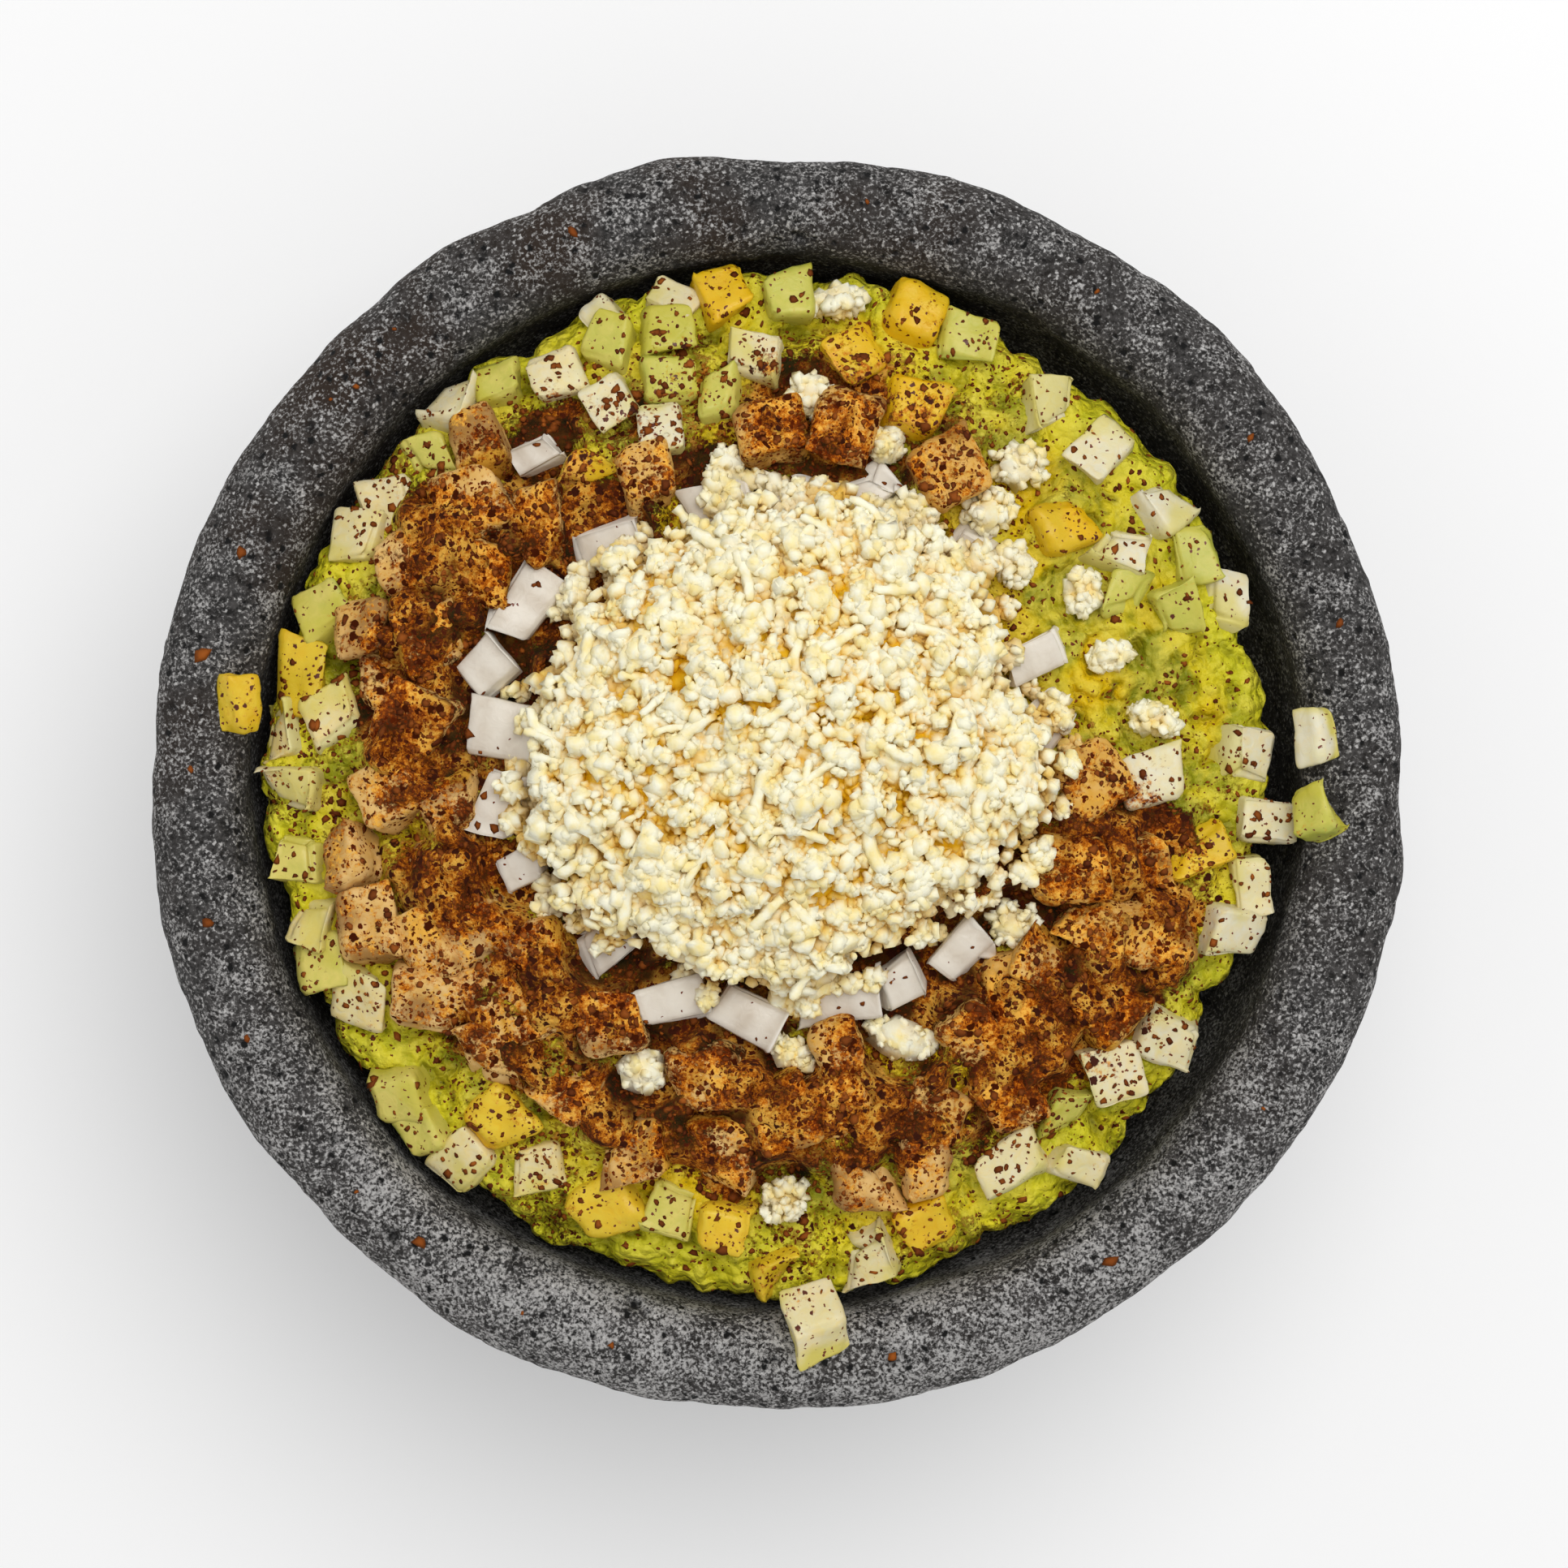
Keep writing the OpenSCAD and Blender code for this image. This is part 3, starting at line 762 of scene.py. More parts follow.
@dataclass(frozen=True)
class MashedAvocado:
    """Mashed avocado: soft, wet and patchy, from yellow-green flesh to greener skin side."""

    flesh: str = "#d2be20"
    green: str = "#848614"
    pale: str = "#e2d24e"
    yellow: str = "#e4bc08"
    lime: str = "#e2dc2e"
    # Painted shade in the creases between the lumps.
    crease_shade: str = "#756f10"
    wide_mm: float = 7.0
    fine_mm: float = 2.2
    far_mm: float = 16.0
    curd_mm: float = 1.7

    def make(self) -> Material:
        """Builds the material: light passes a little into it, and its wet skin shines.

        Returns:
            The finish.
        """
        material, add, at, (lime_edge_and_light, crest_shading) = new_material("mashed avocado", "lime_edge_and_light", "crest_shading")
        wide = add("TexNoise", {**spaced(at, self.wide_mm), "Detail": 4.0, "Distortion": 0.6})
        fine = add("TexNoise", {**spaced(at, self.fine_mm), "Detail": 5.0, "Roughness": 0.6})
        far = add("TexNoise", {**spaced(at, self.far_mm), "Detail": 2.0})
        spans = (
            (wide, 0.4, 0.57, 0.0, 1.0, self.flesh),
            (fine, 0.5, 0.68, 0.0, 0.75, self.pale),
            (far, 0.52, 0.62, 0.0, 0.8, self.yellow),
            # The bed's edge is painted lime: the mash's colour, strengthened as painted light.
            (lime_edge_and_light, 0.0, 1.0, 0.0, 1.0, self.lime),
            # Painted shade and highlight: the creases between lumps are painted olive, their crests
            # pale.
            (crest_shading, 0.0, 0.5, 0.58, 0.0, self.crease_shade),
            (crest_shading, 0.7, 1.0, 0.0, 0.45, self.pale),
        )
        ends = ("Value", "From Min", "From Max", "To Min", "To Max")
        coats = tuple((add("MapRange", dict(zip(ends, span))), span[-1]) for span in spans)
        colour, grain = POWDER.coat(add, at, paint(add, linear(self.green), coats))
        curdy = add("TexVoronoi", spaced(at, self.curd_mm))
        relief = add("Math", {0: fine, 1: curdy}, operation="SUBTRACT")
        relief = add("Math", {0: relief, 1: grain}, operation="ADD")
        span = {"Value": grain, "From Max": 0.3, "To Min": 0.36, "To Max": 0.9}
        look = {
            "Base Color": colour,
            "Roughness": add("MapRange", span),
            "Specular IOR Level": 0.16,
            "Subsurface Weight": 0.06,
            "Subsurface Radius": (0.9, 0.8, 0.25),
            "Subsurface Scale": 1.5 * MM,
        }
        close(add, relief, 0.85, 1.0, look)
        return material


@dataclass(frozen=True)
class CutProduce:
    """Raw fruit or vegetable, knife-cut: a moist, slightly see-through face with fine fibres."""

    name: str
    core: str
    pale: str
    side: str
    smear: str = "#b0aa3a"
    fibre_mm: float = 1.6
    cloud_mm: float = 5.0
    roughness: float = 0.38
    soft: float = 0.15
    glow: tuple[float, float, float] = (1.0, 0.9, 0.6)
    gloss: float = 0.3

    def make(self) -> Material:
        """Builds the material: each die has its own tone, and chilli lies on its upper faces.

        Returns:
            The finish.
        """
        material, add, at, (tone, skin, mash) = new_material(self.name, "tone", "skin", "mash")
        fibre = add("TexNoise", {**spaced(at, self.fibre_mm), "Detail": 4.0, "Distortion": 0.8})
        span = {"Value": fibre, "From Min": 0.3, "From Max": 0.7, "To Min": -0.3, "To Max": 0.3}
        blend = {0: tone, 1: add("MapRange", span)}
        blend = add("Math", blend, operation="ADD", use_clamp=True)
        cloud = add("TexNoise", {**spaced(at, self.cloud_mm), "Detail": 3.0})
        span = {"Value": cloud, "From Min": 0.45, "From Max": 0.7, "To Max": 0.5}
        cloudy = add("MapRange", span)
        coats = ((blend, self.pale), (skin, self.side), (cloudy, self.side), (mash, self.smear))
        colour, grain = POWDER.coat(add, at, paint(add, linear(self.core), coats))
        relief = add("Math", {0: fibre, 1: grain}, operation="ADD")
        span = {"Value": grain, "From Max": 0.3, "To Min": self.roughness, "To Max": 0.9}
        look = {
            "Base Color": colour,
            "Roughness": add("MapRange", span),
            "Specular IOR Level": self.gloss,
            "Subsurface Weight": self.soft,
            "Subsurface Radius": self.glow,
            "Subsurface Scale": 1.5 * MM,
        }
        close(add, relief, 0.45, 0.3, look)
        return material


@dataclass(frozen=True)
class CrumbledCheese:
    """Fresh white cheese, crumbled: matt cream curd, yellower in recesses as painted shade."""

    curd: str = "#f9f5da"
    shade: str = "#f8e6a2"
    # Painted shade in the recesses between curds.
    recess_shade: str = "#e2b012"
    curd_mm: float = 3.0
    fine_mm: float = 0.5

    def make(self) -> Material:
        """Builds the material: soft and matt, cream on top, with straw-coloured painted shade in
        hollows.

        Returns:
            The finish.
        """
        material, add, at, (recess,) = new_material("crumbled fresh cheese", "recess")
        curdle = add("TexNoise", {**spaced(at, self.curd_mm), "Detail": 4.0})
        fine = add("TexNoise", {**spaced(at, self.fine_mm), "Detail": 3.0})
        tone = add("MapRange", {"Value": curdle, "From Min": 0.42, "From Max": 0.66})
        # Painted shade: the recess attribute lays the yellow recess colour into the hollows.
        coats = ((tone, self.shade), (recess, self.recess_shade))
        look = {
            "Base Color": paint(add, linear(self.curd), coats),
            "Roughness": 0.62,
            "Specular IOR Level": 0.25,
            "Subsurface Weight": 0.05,
            "Subsurface Radius": (1.0, 0.85, 0.5),
            "Subsurface Scale": 0.8 * MM,
        }
        close(add, fine, 0.35, 0.25, look)
        return material


@dataclass(frozen=True)
class GroundChilli:
    """Coarsely ground dried chilli: dull flakes from rust to near black."""

    dark: str = "#522004"
    rust: str = "#a0561a"
    fine_mm: float = 0.4

    def make(self) -> Material:
        """Builds the material: each flake has its own tone between the two colours.

        Returns:
            The finish.
        """
        material, add, at, (tone,) = new_material("ground dried chilli", "tone")
        fine = add("TexNoise", {**spaced(at, self.fine_mm), "Detail": 2.0})
        colour = paint(add, linear(self.dark), ((tone, self.rust),))
        look = {"Base Color": colour, "Roughness": 0.75, "Specular IOR Level": 0.15}
        close(add, fine, 0.5, 0.2, look)
        return material


# ------------------------------------------------------------------ shapes shared by the pieces


@dataclass(frozen=True)
class Hollow:
    """Inside of the mortar and the lie of the food in it, in mm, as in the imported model."""

    mouth_r: float = 83.0
    top_z: float = 97.5
    floor_z: float = 50.0
    square: float = 2.3
    in_round: float = 7.5
    rim_z: float = 105.0
    bed_edge_z: float = 95.0
    bed_rise: float = 13.0
    bed_r: float = 82.6
    heap_x: float = 1.0
    heap_y: float = 7.0
    seat_z: float = 111.2
    seat_r: float = 34.0
    open_r: float = 1e4  # stands for no limit

    def wall(self, a: Array, gap: float = 0.0) -> tuple[Array, Array]:
        """Finds the hollow's face, a squared ellipse.

        Args:
            a: Angles from the mouth, 0, to the floor, a quarter turn.
            gap: Distance to keep from the stone in mm.

        Returns:
            Radii and heights in mm.
        """
        power = 2 / self.square
        deep = (self.top_z - self.floor_z - gap) * np.sin(a) ** power
        return (self.mouth_r - gap) * np.cos(a) ** power, self.top_z - deep

    def radius(self, z: Array) -> Array:
        """Radius of the stone's inner face: a squared ellipse, then the rim's arc.

        Args:
            z: Heights in mm.

        Returns:
            Radii in mm.
        """
        s = np.clip((self.top_z - z) / (self.top_z - self.floor_z), 0, 1)
        below = self.mouth_r * (1 - s**self.square) ** (1 / self.square)
        up = np.clip(z - self.top_z, 0, self.in_round)
        above = self.mouth_r + self.in_round - np.sqrt(self.in_round**2 - up**2)
        return np.where(z < self.top_z, below, np.where(z < self.rim_z, above, self.open_r))

    def rim(self, r: Array) -> Array:
        """Height of the stone's rim: the arc inside the rim, then its level top.

        Args:
            r: Distances from the axis in mm.

        Returns:
            Heights in mm, and 0 over the hollow.
        """
        short = np.clip(self.mouth_r + self.in_round - r, 0, self.in_round)
        arc = self.top_z + np.sqrt(self.in_round**2 - short**2)
        return np.where(r > self.mouth_r, arc, 0)

    def bed(self, r: Array) -> Array:
        """Height of the guacamole's dome at radius r: a parabola that falls to the edge."""
        return self.bed_edge_z + self.bed_rise * (1 - (r / self.bed_r) ** 2)

    def inside(self, p: Array, gap: float) -> Array:
        """Draws points in towards the axis until they clear the stone.

        Args:
            p: Points in mm, shape (..., 3).
            gap: Distance to keep in mm.

        Returns:
            The points after the move.
        """
        r = np.maximum(np.hypot(p[..., 0], p[..., 1]), 1e-6)
        pull = np.minimum(1, (self.radius(p[..., 2]) - gap) / r)
        return p * np.stack([pull, pull, np.ones_like(pull)], axis=-1)


@dataclass(frozen=True)
class ChilliFall:
    """How thickly the ground chilli fell: by direction from the axis, out to a ragged edge."""

    # Direction in degrees, share of the surface that is covered, and radius of the edge in mm.
    falls: tuple[tuple[float, float, float], ...] = (
        (0, 0.7, 62), (15, 0.3, 58), (32, 0.18, 56), (48, 0.36, 60), (62, 0.75, 68),
        (78, 0.9, 71), (92, 0.8, 69), (108, 0.75, 69), (122, 0.95, 72), (140, 1.0, 72),
        (160, 1.0, 67), (180, 0.9, 62), (200, 0.8, 63), (220, 0.9, 65), (245, 1.0, 64),
        (270, 1.0, 64), (295, 1.0, 66), (320, 1.0, 69), (345, 0.9, 68),
    )  # fmt: skip
    stray: float = 0.22

    def at(self, x: Array, y: Array) -> Array:
        """Gives the share of the surface that chilli covers at plan points.

        The share is read off by direction, fades over the last millimetres to the ragged edge,
        is broken up by noise, and keeps a few stray grains everywhere.

        Args:
            x: Place to the right in mm.
            y: Place to the back in mm.

        Returns:
            Cover from 0 to 1.
        """
        a = np.degrees(np.arctan2(y, x)) % 360
        turn, cover, edge = np.array(self.falls + ((360, *self.falls[0][1:]),)).T
        thick = np.interp(a, turn, cover)
        p = flat(x, y)
        past = np.hypot(x, y) - np.interp(a, turn, edge) - 3.5 * noise(p, 9.0, 71)
        cover = thick * (1 - smooth(-7.0, 12.0, past)) * (0.82 + 0.3 * rough(p, 7.0, 2, 75))
        stray = self.stray * (0.55 + 0.75 * thick) * (1 + 0.7 * noise(p, 12.0, 79))
        return np.clip(np.maximum(cover, stray), 0, 1)


HOLLOW = Hollow()
CHILLI = ChilliFall()
POWDER = ChilliPowder()


# ------------------------------------------------------------------ the mortar


@dataclass
class StoneMortar:
    """Three-legged basalt mortar, hewn from one block and rubbed round at the rim."""

    bowl_r: float = 100.0
    # Share of painted shade over the hollow's face, in the pores' near black.
    hollow_shade: float = 0.5
    out_round: float = 8.5
    wall_top_z: float = 96.5
    base_r: float = 50.0
    base_z: float = 30.0
    foot_r: float = 14.0
    root_r: float = 20.0
    leg_ring_r: float = 54.0
    leg_turns: tuple[float, ...] = (30.0, 150.0, 270.0)
    columns: int = 720
    lean: float = 7.0
    worn_mm: float = 0.7
    leg_top_z: float = 47.0
    # Directions in degrees towards which the rim is brighter and browner.
    bright_turn: float = 268.0
    brown_turn: float = 128.0
    # Flats of the outside: direction in degrees and depth in mm.
    flats: tuple[tuple[float, float], ...] = (
        (1, 0.6), (25, 0.9), (60, 0.6), (86, 1.0), (113, 0.7), (146, 1.0),
        (175, 0.8), (222, 1.2), (257, 1.4), (284, 0.8), (305, 1.0), (330, 0.6),
    )  # fmt: skip
    # Relief: height and size in mm, octaves and pattern number.
    swells: tuple[tuple[float, float, int, int], ...] = (
        (0.75, 24.0, 2, 3), (0.3, 6.5, 2, 7), (0.12, 1.7, 1, 11),
    )  # fmt: skip
    # Pores: depth and spacing in mm, share of the cells that hold one, least radius and its growth
    # in mm, share of the radius that is level, and pattern number.
    pores: tuple[tuple[float, float, float, float, float, float, int], ...] = (
        (0.55, 3.7, 0.55, 0.7, 0.8, 0.2, 15), (0.8, 10.0, 0.35, 1.3, 2.4, 0.25, 25),
    )  # fmt: skip

    def profile(self) -> tuple[Array, Array]:
        """Half outline from the hollow's floor over the rim to the underside.

        The hollow is a squared ellipse, the rim two arcs and the wall an ellipse. Points are
        spread so that rings lie close on the rim and far apart where food or table hides them.

        Returns:
            Radii and heights of the rings in mm.
        """
        spans = ((89.5, 0, 900), (180, 90, 200), (90, 0, 200), (0, 90, 900))
        a, b, c, d = (np.radians(np.linspace(*span)) for span in spans)
        wall = (
            self.base_r + (self.bowl_r - self.base_r) * np.cos(d),
            self.wall_top_z - (self.wall_top_z - self.base_z) * np.sin(d),
        )
        parts = (
            HOLLOW.wall(a),
            polar(HOLLOW.in_round, b, HOLLOW.mouth_r + HOLLOW.in_round, HOLLOW.top_z),
            polar(self.out_round, c, self.bowl_r - self.out_round, self.wall_top_z),
            wall,
            (np.linspace(self.base_r, 2.0, 200), np.full(200, self.base_z)),
        )
        line = np.concatenate([np.stack(part, -1) for part in parts])
        step = np.linalg.norm(np.diff(line, axis=0), axis=1)
        mid_r, mid_z = (line[:-1] + line[1:]).T / 2
        inner = np.arange(len(step)) < len(a)
        places = [inner & (mid_z > 84), inner, mid_z > 88, mid_r > self.base_r]
        gap = np.select(places, [0.9, 6.0, 0.85, 1.9], 5.0)
        along = np.concatenate([[0], np.cumsum(step / gap)])
        spots = np.linspace(0, along[-1], int(along[-1]) + 1)
        return np.interp(spots, along, line[:, 0]), np.interp(spots, along, line[:, 1])

    def hewn(self, x: Array, y: Array, z: Array) -> tuple[Array, Array]:
        """Cuts leaning flats into the outside, with their edges rounded off.

        Each flat is a plane at its own depth, and a smooth minimum of its distance along the
        point's direction and the point's radius draws the point in.

        Args:
            x: Places to the right in mm.
            y: Places to the back in mm.
            z: Heights in mm.

        Returns:
            The places after the cuts.
        """
        r = np.hypot(x, y)
        a = np.arctan2(y, x)
        inner = r
        slope = math.tan(math.radians(self.lean))
        for turn, depth in self.flats:
            facing = np.cos(a - math.radians(turn))
            plane = self.bowl_r - depth + (z - self.wall_top_z) * slope
            limit = np.where(facing > 0.5, plane / np.maximum(facing, 0.5), HOLLOW.open_r)
            past = np.clip((inner - limit) / self.worn_mm, -30, 30)
            inner = inner - self.worn_mm * np.log1p(np.exp(past))
        outside = smooth(86.0, 92.0, r) * (z > self.base_z + 1)
        pull = 1 + (inner / np.maximum(r, 1e-6) - 1) * outside
        return x * pull, y * pull

    def leg(self, turn: float) -> tuple[Array, list[Array]]:
        """One leg: a tapered round post whose root flares into the underside.

        The radius grows in a straight taper, rounds off at the foot, and gains a flare that
        dies away exponentially below the underside of the bowl.

        Args:
            turn: Direction of the leg in degrees.

        Returns:
            Corners in mm, and faces.
        """
        columns, rows = 64, 34
        foot = [0.0, 0.25, 0.8]
        z = np.concatenate([foot, np.linspace(1.8, self.leg_top_z, rows - len(foot))])[:, None]
        a = circle(columns)[None]
        taper = self.foot_r + (self.root_r - self.foot_r) * z / self.base_z
        taper = taper - 1.6 * np.exp(-z / 0.7)
        cx, cy = polar(self.leg_ring_r, math.radians(turn))
        far = np.hypot(*polar(taper, a, cx, cy))
        out = np.clip((far - self.base_r) / (self.bowl_r - self.base_r), 0, 1)
        under = self.wall_top_z - (self.wall_top_z - self.base_z) * np.sqrt(1 - out**2)
        r = taper + 4.5 * np.exp(-np.clip(under - z, 0, 40) / 3.6)
        x, y = polar(r, a, cx, cy)
        rings = np.stack([x, y, np.broadcast_to(z, x.shape)], -1).reshape(-1, 3)
        points = np.concatenate([[[cx, cy, 0.0]], rings, [[cx, cy, self.leg_top_z]]])
        return points, ring_faces(rows, columns)

    def build(self) -> Object:
        """Turns the bowl, joins the legs to it, and roughens and pits the stone.

        Returns:
            The mortar as one closed surface.
        """
        r, z = self.profile()
        x, y = polar(r[:, None], circle(self.columns))
        zz = np.broadcast_to(z[:, None], x.shape)
        rings = np.stack([*self.hewn(x, y, zz), zz], -1).reshape(-1, 3)
        points = np.concatenate([[[0, 0, HOLLOW.floor_z]], rings, [[0, 0, self.base_z]]])
        bowl = make_object("basalt_mortar", points, ring_faces(len(r), self.columns))
        posts = [make_object(f"leg_{k}", *self.leg(turn)) for k, turn in enumerate(self.leg_turns)]
        for post in posts:
            join = bowl.modifiers.new(post.name, "BOOLEAN")
            join.operation = "UNION"
            join.solver = "MANIFOLD"
            join.object = post
        settle(bowl)
        for post in posts:
            bpy.data.objects.remove(post)
        self.weather(bowl.data)
        return bowl

    def weather(self, mesh: Mesh) -> None:
        """Moves the stone's surface along its normals: swells, tool marks, grit and open pores.

        The hollow's face is painted darker from the rim down and the pores near black, both painted
        shade; the rim is brighter towards the front and browner towards the left back.

        Args:
            mesh: The mortar's mesh.
        """
        p, n = read_corners(mesh)
        move = sum(height * rough(p, *kind) for height, *kind in self.swells)
        # Pores are dented in, and their marks carry painted shade, near black in the material.
        pit_and_hollow_shade = np.zeros(len(p))
        for depth, size, share, least, grow, level, seed in self.pores:
            far, mark = cells(p, size, seed)
            pore = np.where(mark < share, smooth(1.0, level, far / (least + grow * mark)), 0)
            move = move - depth * pore
            pit_and_hollow_shade = np.maximum(pit_and_hollow_shade, pore)
        x, y, z = p.T
        past = np.hypot(x, y) - HOLLOW.radius(z)
        wall = (past < 1.0) & (z < HOLLOW.top_z + 2) & (z > HOLLOW.floor_z - 2)
        move = np.where(wall, np.minimum(move, 0.1), move)
        moved = p + n * move[:, None]
        moved[:, 2] = np.where(z < 1.0, z, np.maximum(moved[:, 2], 0.2))
        mesh.vertices.foreach_set("co", (moved * MM).ravel())
        # Painted shade: the hollow's face darkens from the rim down.
        lined = (past < 2.5) & (z > HOLLOW.floor_z - 2) & (z < HOLLOW.rim_z)
        wall_shade = np.where(lined, self.hollow_shade * smooth(104.0, 97.5, z), 0)
        set_layer(mesh, "pit_and_hollow_shade", np.maximum(pit_and_hollow_shade, wall_shade))
        # The rim is brighter towards the front and browner towards the left back.
        a = np.arctan2(y, x)
        brighter_front = smooth(0.1, 0.95, np.cos(a - math.radians(self.bright_turn)))
        set_layer(mesh, "brighter_front", brighter_front)
        brown_side = smooth(0.2, 0.95, np.cos(a - math.radians(self.brown_turn)))
        set_layer(mesh, "brown_side", 0.2 + 0.8 * brown_side)
        mesh.update()

    def dress(self) -> Object:
        """Builds the mortar, gives it its stone and puts it in place of the plain solid.

        Returns:
            The mortar.
        """
        obj = self.build()
        obj.data.materials.clear()
        return put(obj, HewnBasalt().make(), "bowl", "basalt", "stone_bowl")


# ------------------------------------------------------------------ the filling


@dataclass
class GuacamoleBed:
    """Chunky bed of guacamole that fills the hollow and rises under the cheese."""

    columns: int = 640
    rows: int = 104
    hidden_r: float = 28.0
    shoulder: float = 3.2
    clear: float = 0.6
    edge_r: float = 79.0
    ring_r: float = 82.0
    hug: float = 1.1
    lump_h: float = 6.2
    crease: float = 4.4
    hump_h: float = 4.8
    piled: float = 2.4
    # Highest mash at a die and at a topping, in half heights from its middle.
    die_lid: float = 0.45
    topping_lid: float = -0.3
    # Bays in the edge: direction in degrees, depth in mm and spread.
    bays: tuple[tuple[float, float, float], ...] = (
        (5, 3.4, 0.22), (325, 3.0, 0.1), (222, 2.2, 0.1), (118, 1.6, 0.05), (62, 2.0, 0.05),
    )  # fmt: skip
    # Lumps of the mash: share of the height, width in mm and pattern number.
    sizes: tuple[tuple[float, float, int], ...] = ((0.38, 6.4, 51), (0.35, 3.6, 55), (0.3, 2.0, 59))
    toppings: list[Solid] = field(
        default_factory=lambda: solids_of("onion_pieces", "cheese_crumbs")
    )
    dice: list[Solid] = field(
        default_factory=lambda: solids_of("jicama_dice", "cucumber_dice", "mango_dice")
    )

    def edge(self, a: Array) -> Array:
        """Radius where the mash turns down to the stone: lobes, drawn in at a few bays.

        Args:
            a: Directions in radians.

        Returns:
            Radii in mm.
        """
        p = flat(*polar(self.ring_r, a))
        drawn = sum(
            depth * np.exp(-(1 - np.cos(a - math.radians(turn))) / spread)
            for turn, depth, spread in self.bays
        )
        jags = 3.0 * knobs(p, 8.0, 45) + 0.9 * noise(p, 10.0, 41) + 0.8 * noise(p, 3.0, 43)
        return self.edge_r - drawn + jags

    def crumble(self, x: Array, y: Array) -> Array:
        """Lumps of the mash in three sizes, added up: 0 in the creases, about 1 on crests."""
        return sum(share * knobs(flat(x, y), wide, seed) for share, wide, seed in self.sizes)

    def humps(self, x: Array, y: Array) -> Array:
        """Humps of mash as wide as dice where chilli lies thick.

        They leave out the places of the onion and the crumbs, which lie on the plain dome.

        Args:
            x: Places to the right in mm.
            y: Places to the back in mm.

        Returns:
            Numbers from 0 in the valleys to 1 on top.
        """
        hump = lumps(flat(x, y), 10.5, 83) * smooth(0.35, 0.75, CHILLI.at(x, y))
        for each in self.toppings:
            hump = hump * smooth(0.7, 1.5, each.away(x, y))
        return hump

    def height(self, x: Array, y: Array) -> Array:
        """Height of the mash: the dome, the mound under the cheese, and lumps of several sizes.

        It is pushed up round each die, and stays under the upper faces of dice and toppings.

        Args:
            x: Places to the right in mm.
            y: Places to the back in mm.

        Returns:
            Heights in mm.
        """
        d = np.hypot(x - HOLLOW.heap_x, y - HOLLOW.heap_y)
        dome = HOLLOW.bed(np.hypot(x, y))
        under = smooth(HOLLOW.seat_r + 4.0, HOLLOW.seat_r - 3.0, d)
        rise = 0.8 * noise(flat(x, y), 13.0, 63) + self.lump_h * self.crumble(x, y) - self.crease
        rise = rise + self.hump_h * self.humps(x, y)
        rise = rise + self.piled * smooth(0.4, 0.8, CHILLI.at(x, y))
        for each in self.dice:
            rise = rise + self.hug * smooth(1.7, 0.9, each.away(x, y))
        z = (dome + rise) * (1 - under) + (HOLLOW.seat_z - 0.9 + 0.25 * rise) * under
        lids = [(each, self.die_lid) for each in self.dice]
        lids += [(each, self.topping_lid) for each in self.toppings]
        for each, lid in lids:
            over = np.maximum(0, z - each.middle[2] - lid * each.half[2])
            z = z - over * smooth(1.45, 1.0, each.away(x, y))
        return z

    def build(self) -> Object:
        """Lays rings over the top, round the shoulder and down the hollow to its floor.

        Returns:
            The bed as one closed surface with its cover of chilli.
        """
        a = circle(self.columns)[None]
        level = np.ones_like(a)
        dome = self.edge(a) - self.shoulder
        near = np.linspace(3.0, self.hidden_r, 12)[:, None] * level
        t = np.linspace(0, 1, self.rows)[1:, None]
        top_r = np.concatenate([near, self.hidden_r + (dome - self.hidden_r) * t])
        x, y = polar(top_r, a)
        top = np.stack([x, y, self.height(x, y)], -1)
        turn = np.radians(np.linspace(12, 90, 9))[:, None]
        ring = np.stack([*polar(self.ring_r, a * np.ones_like(turn)), 8 * turn * level], -1)
        bumps = 2.0 * (knobs(ring, 3.8, 47) - 0.7)
        fall_r = dome + (self.shoulder + bumps) * np.sin(turn)
        x, y = polar(fall_r, a)
        fall_z = self.height(x, y) - self.shoulder * (1 - np.cos(turn))
        fall = np.stack([x, y, fall_z], -1)
        wall = HOLLOW.wall(np.radians(np.linspace(22, 89, 20))[:, None], self.clear)
        between = np.linspace(0, 1, 7)[1:-1, None]
        r, z = (
            np.concatenate([last[-1:] + (part[:1] - last[-1:]) * between, part * level])
            for last, part in zip((fall_r, fall_z), wall)
        )
        side = np.stack([*polar(r, a), z], -1)
        dents = 1.1 * (1 - knobs(side, 5.0, 49))
        side[..., :2] *= 1 - (dents / np.maximum(r, 12.0))[..., None]
        rings = np.concatenate([top, fall, side])
        body = HOLLOW.inside(rings, self.clear).reshape(-1, 3)
        peak = float(self.height(np.zeros(1), np.zeros(1))[0])
        points = np.concatenate([[[0, 0, peak]], body, [[0, 0, HOLLOW.floor_z + self.clear]]])
        x, y, z = points.T
        dust = CHILLI.at(x, y) * (z > 88)
        dust = np.maximum(dust, smooth(0.4, 0.75, dust))
        # Lime of the mash towards the bed's edge, made stronger as painted light on the sloping
        # shoulder.
        lime_edge_and_light = 0.8 * smooth(64.0, 80.0, np.hypot(x, y) + 4 * noise(points, 9.0, 67))
        valley = smooth(0.8, 0.3, self.humps(x, y) + 0.15 * noise(points, 3.0, 69))
        low = smooth(92.0, 87.0, z)
        # Painted highlight on the lumps' crests and painted shade in their creases; at random lower
        # down.
        crest_shading = smooth(0.4, 0.95, self.crumble(x, y)) * (1 - low)
        crest_shading = crest_shading + (0.5 + 0.5 * noise(points, 4.0, 57)) * low
        # Painted shade, with thicker powder: deep darkens the valleys between the humps under
        # chilli.
        deep = valley * smooth(0.4, 0.7, dust) * smooth(-0.5, 0.3, rough(points, 6.0, 3, 73))
        layers = {"dust": dust, "deep": deep, "lime_edge_and_light": lime_edge_and_light, "crest_shading": crest_shading}
        return make_object("guacamole_mash", points, ring_faces(len(rings), self.columns), layers)

    def dress(self) -> Object:
        """Builds the bed and puts it in place of the plain solid."""
        return put(self.build(), MashedAvocado().make(), "filling", "guacamole", "guacamole")


class Produce(Enum):
    """The kinds of dice in the bowl, by the node that each stands for."""

    JICAMA = "jicama_dice"
    CUCUMBER = "cucumber_dice"
    MANGO = "mango_dice"
    DUSTED = "dusted_dice"


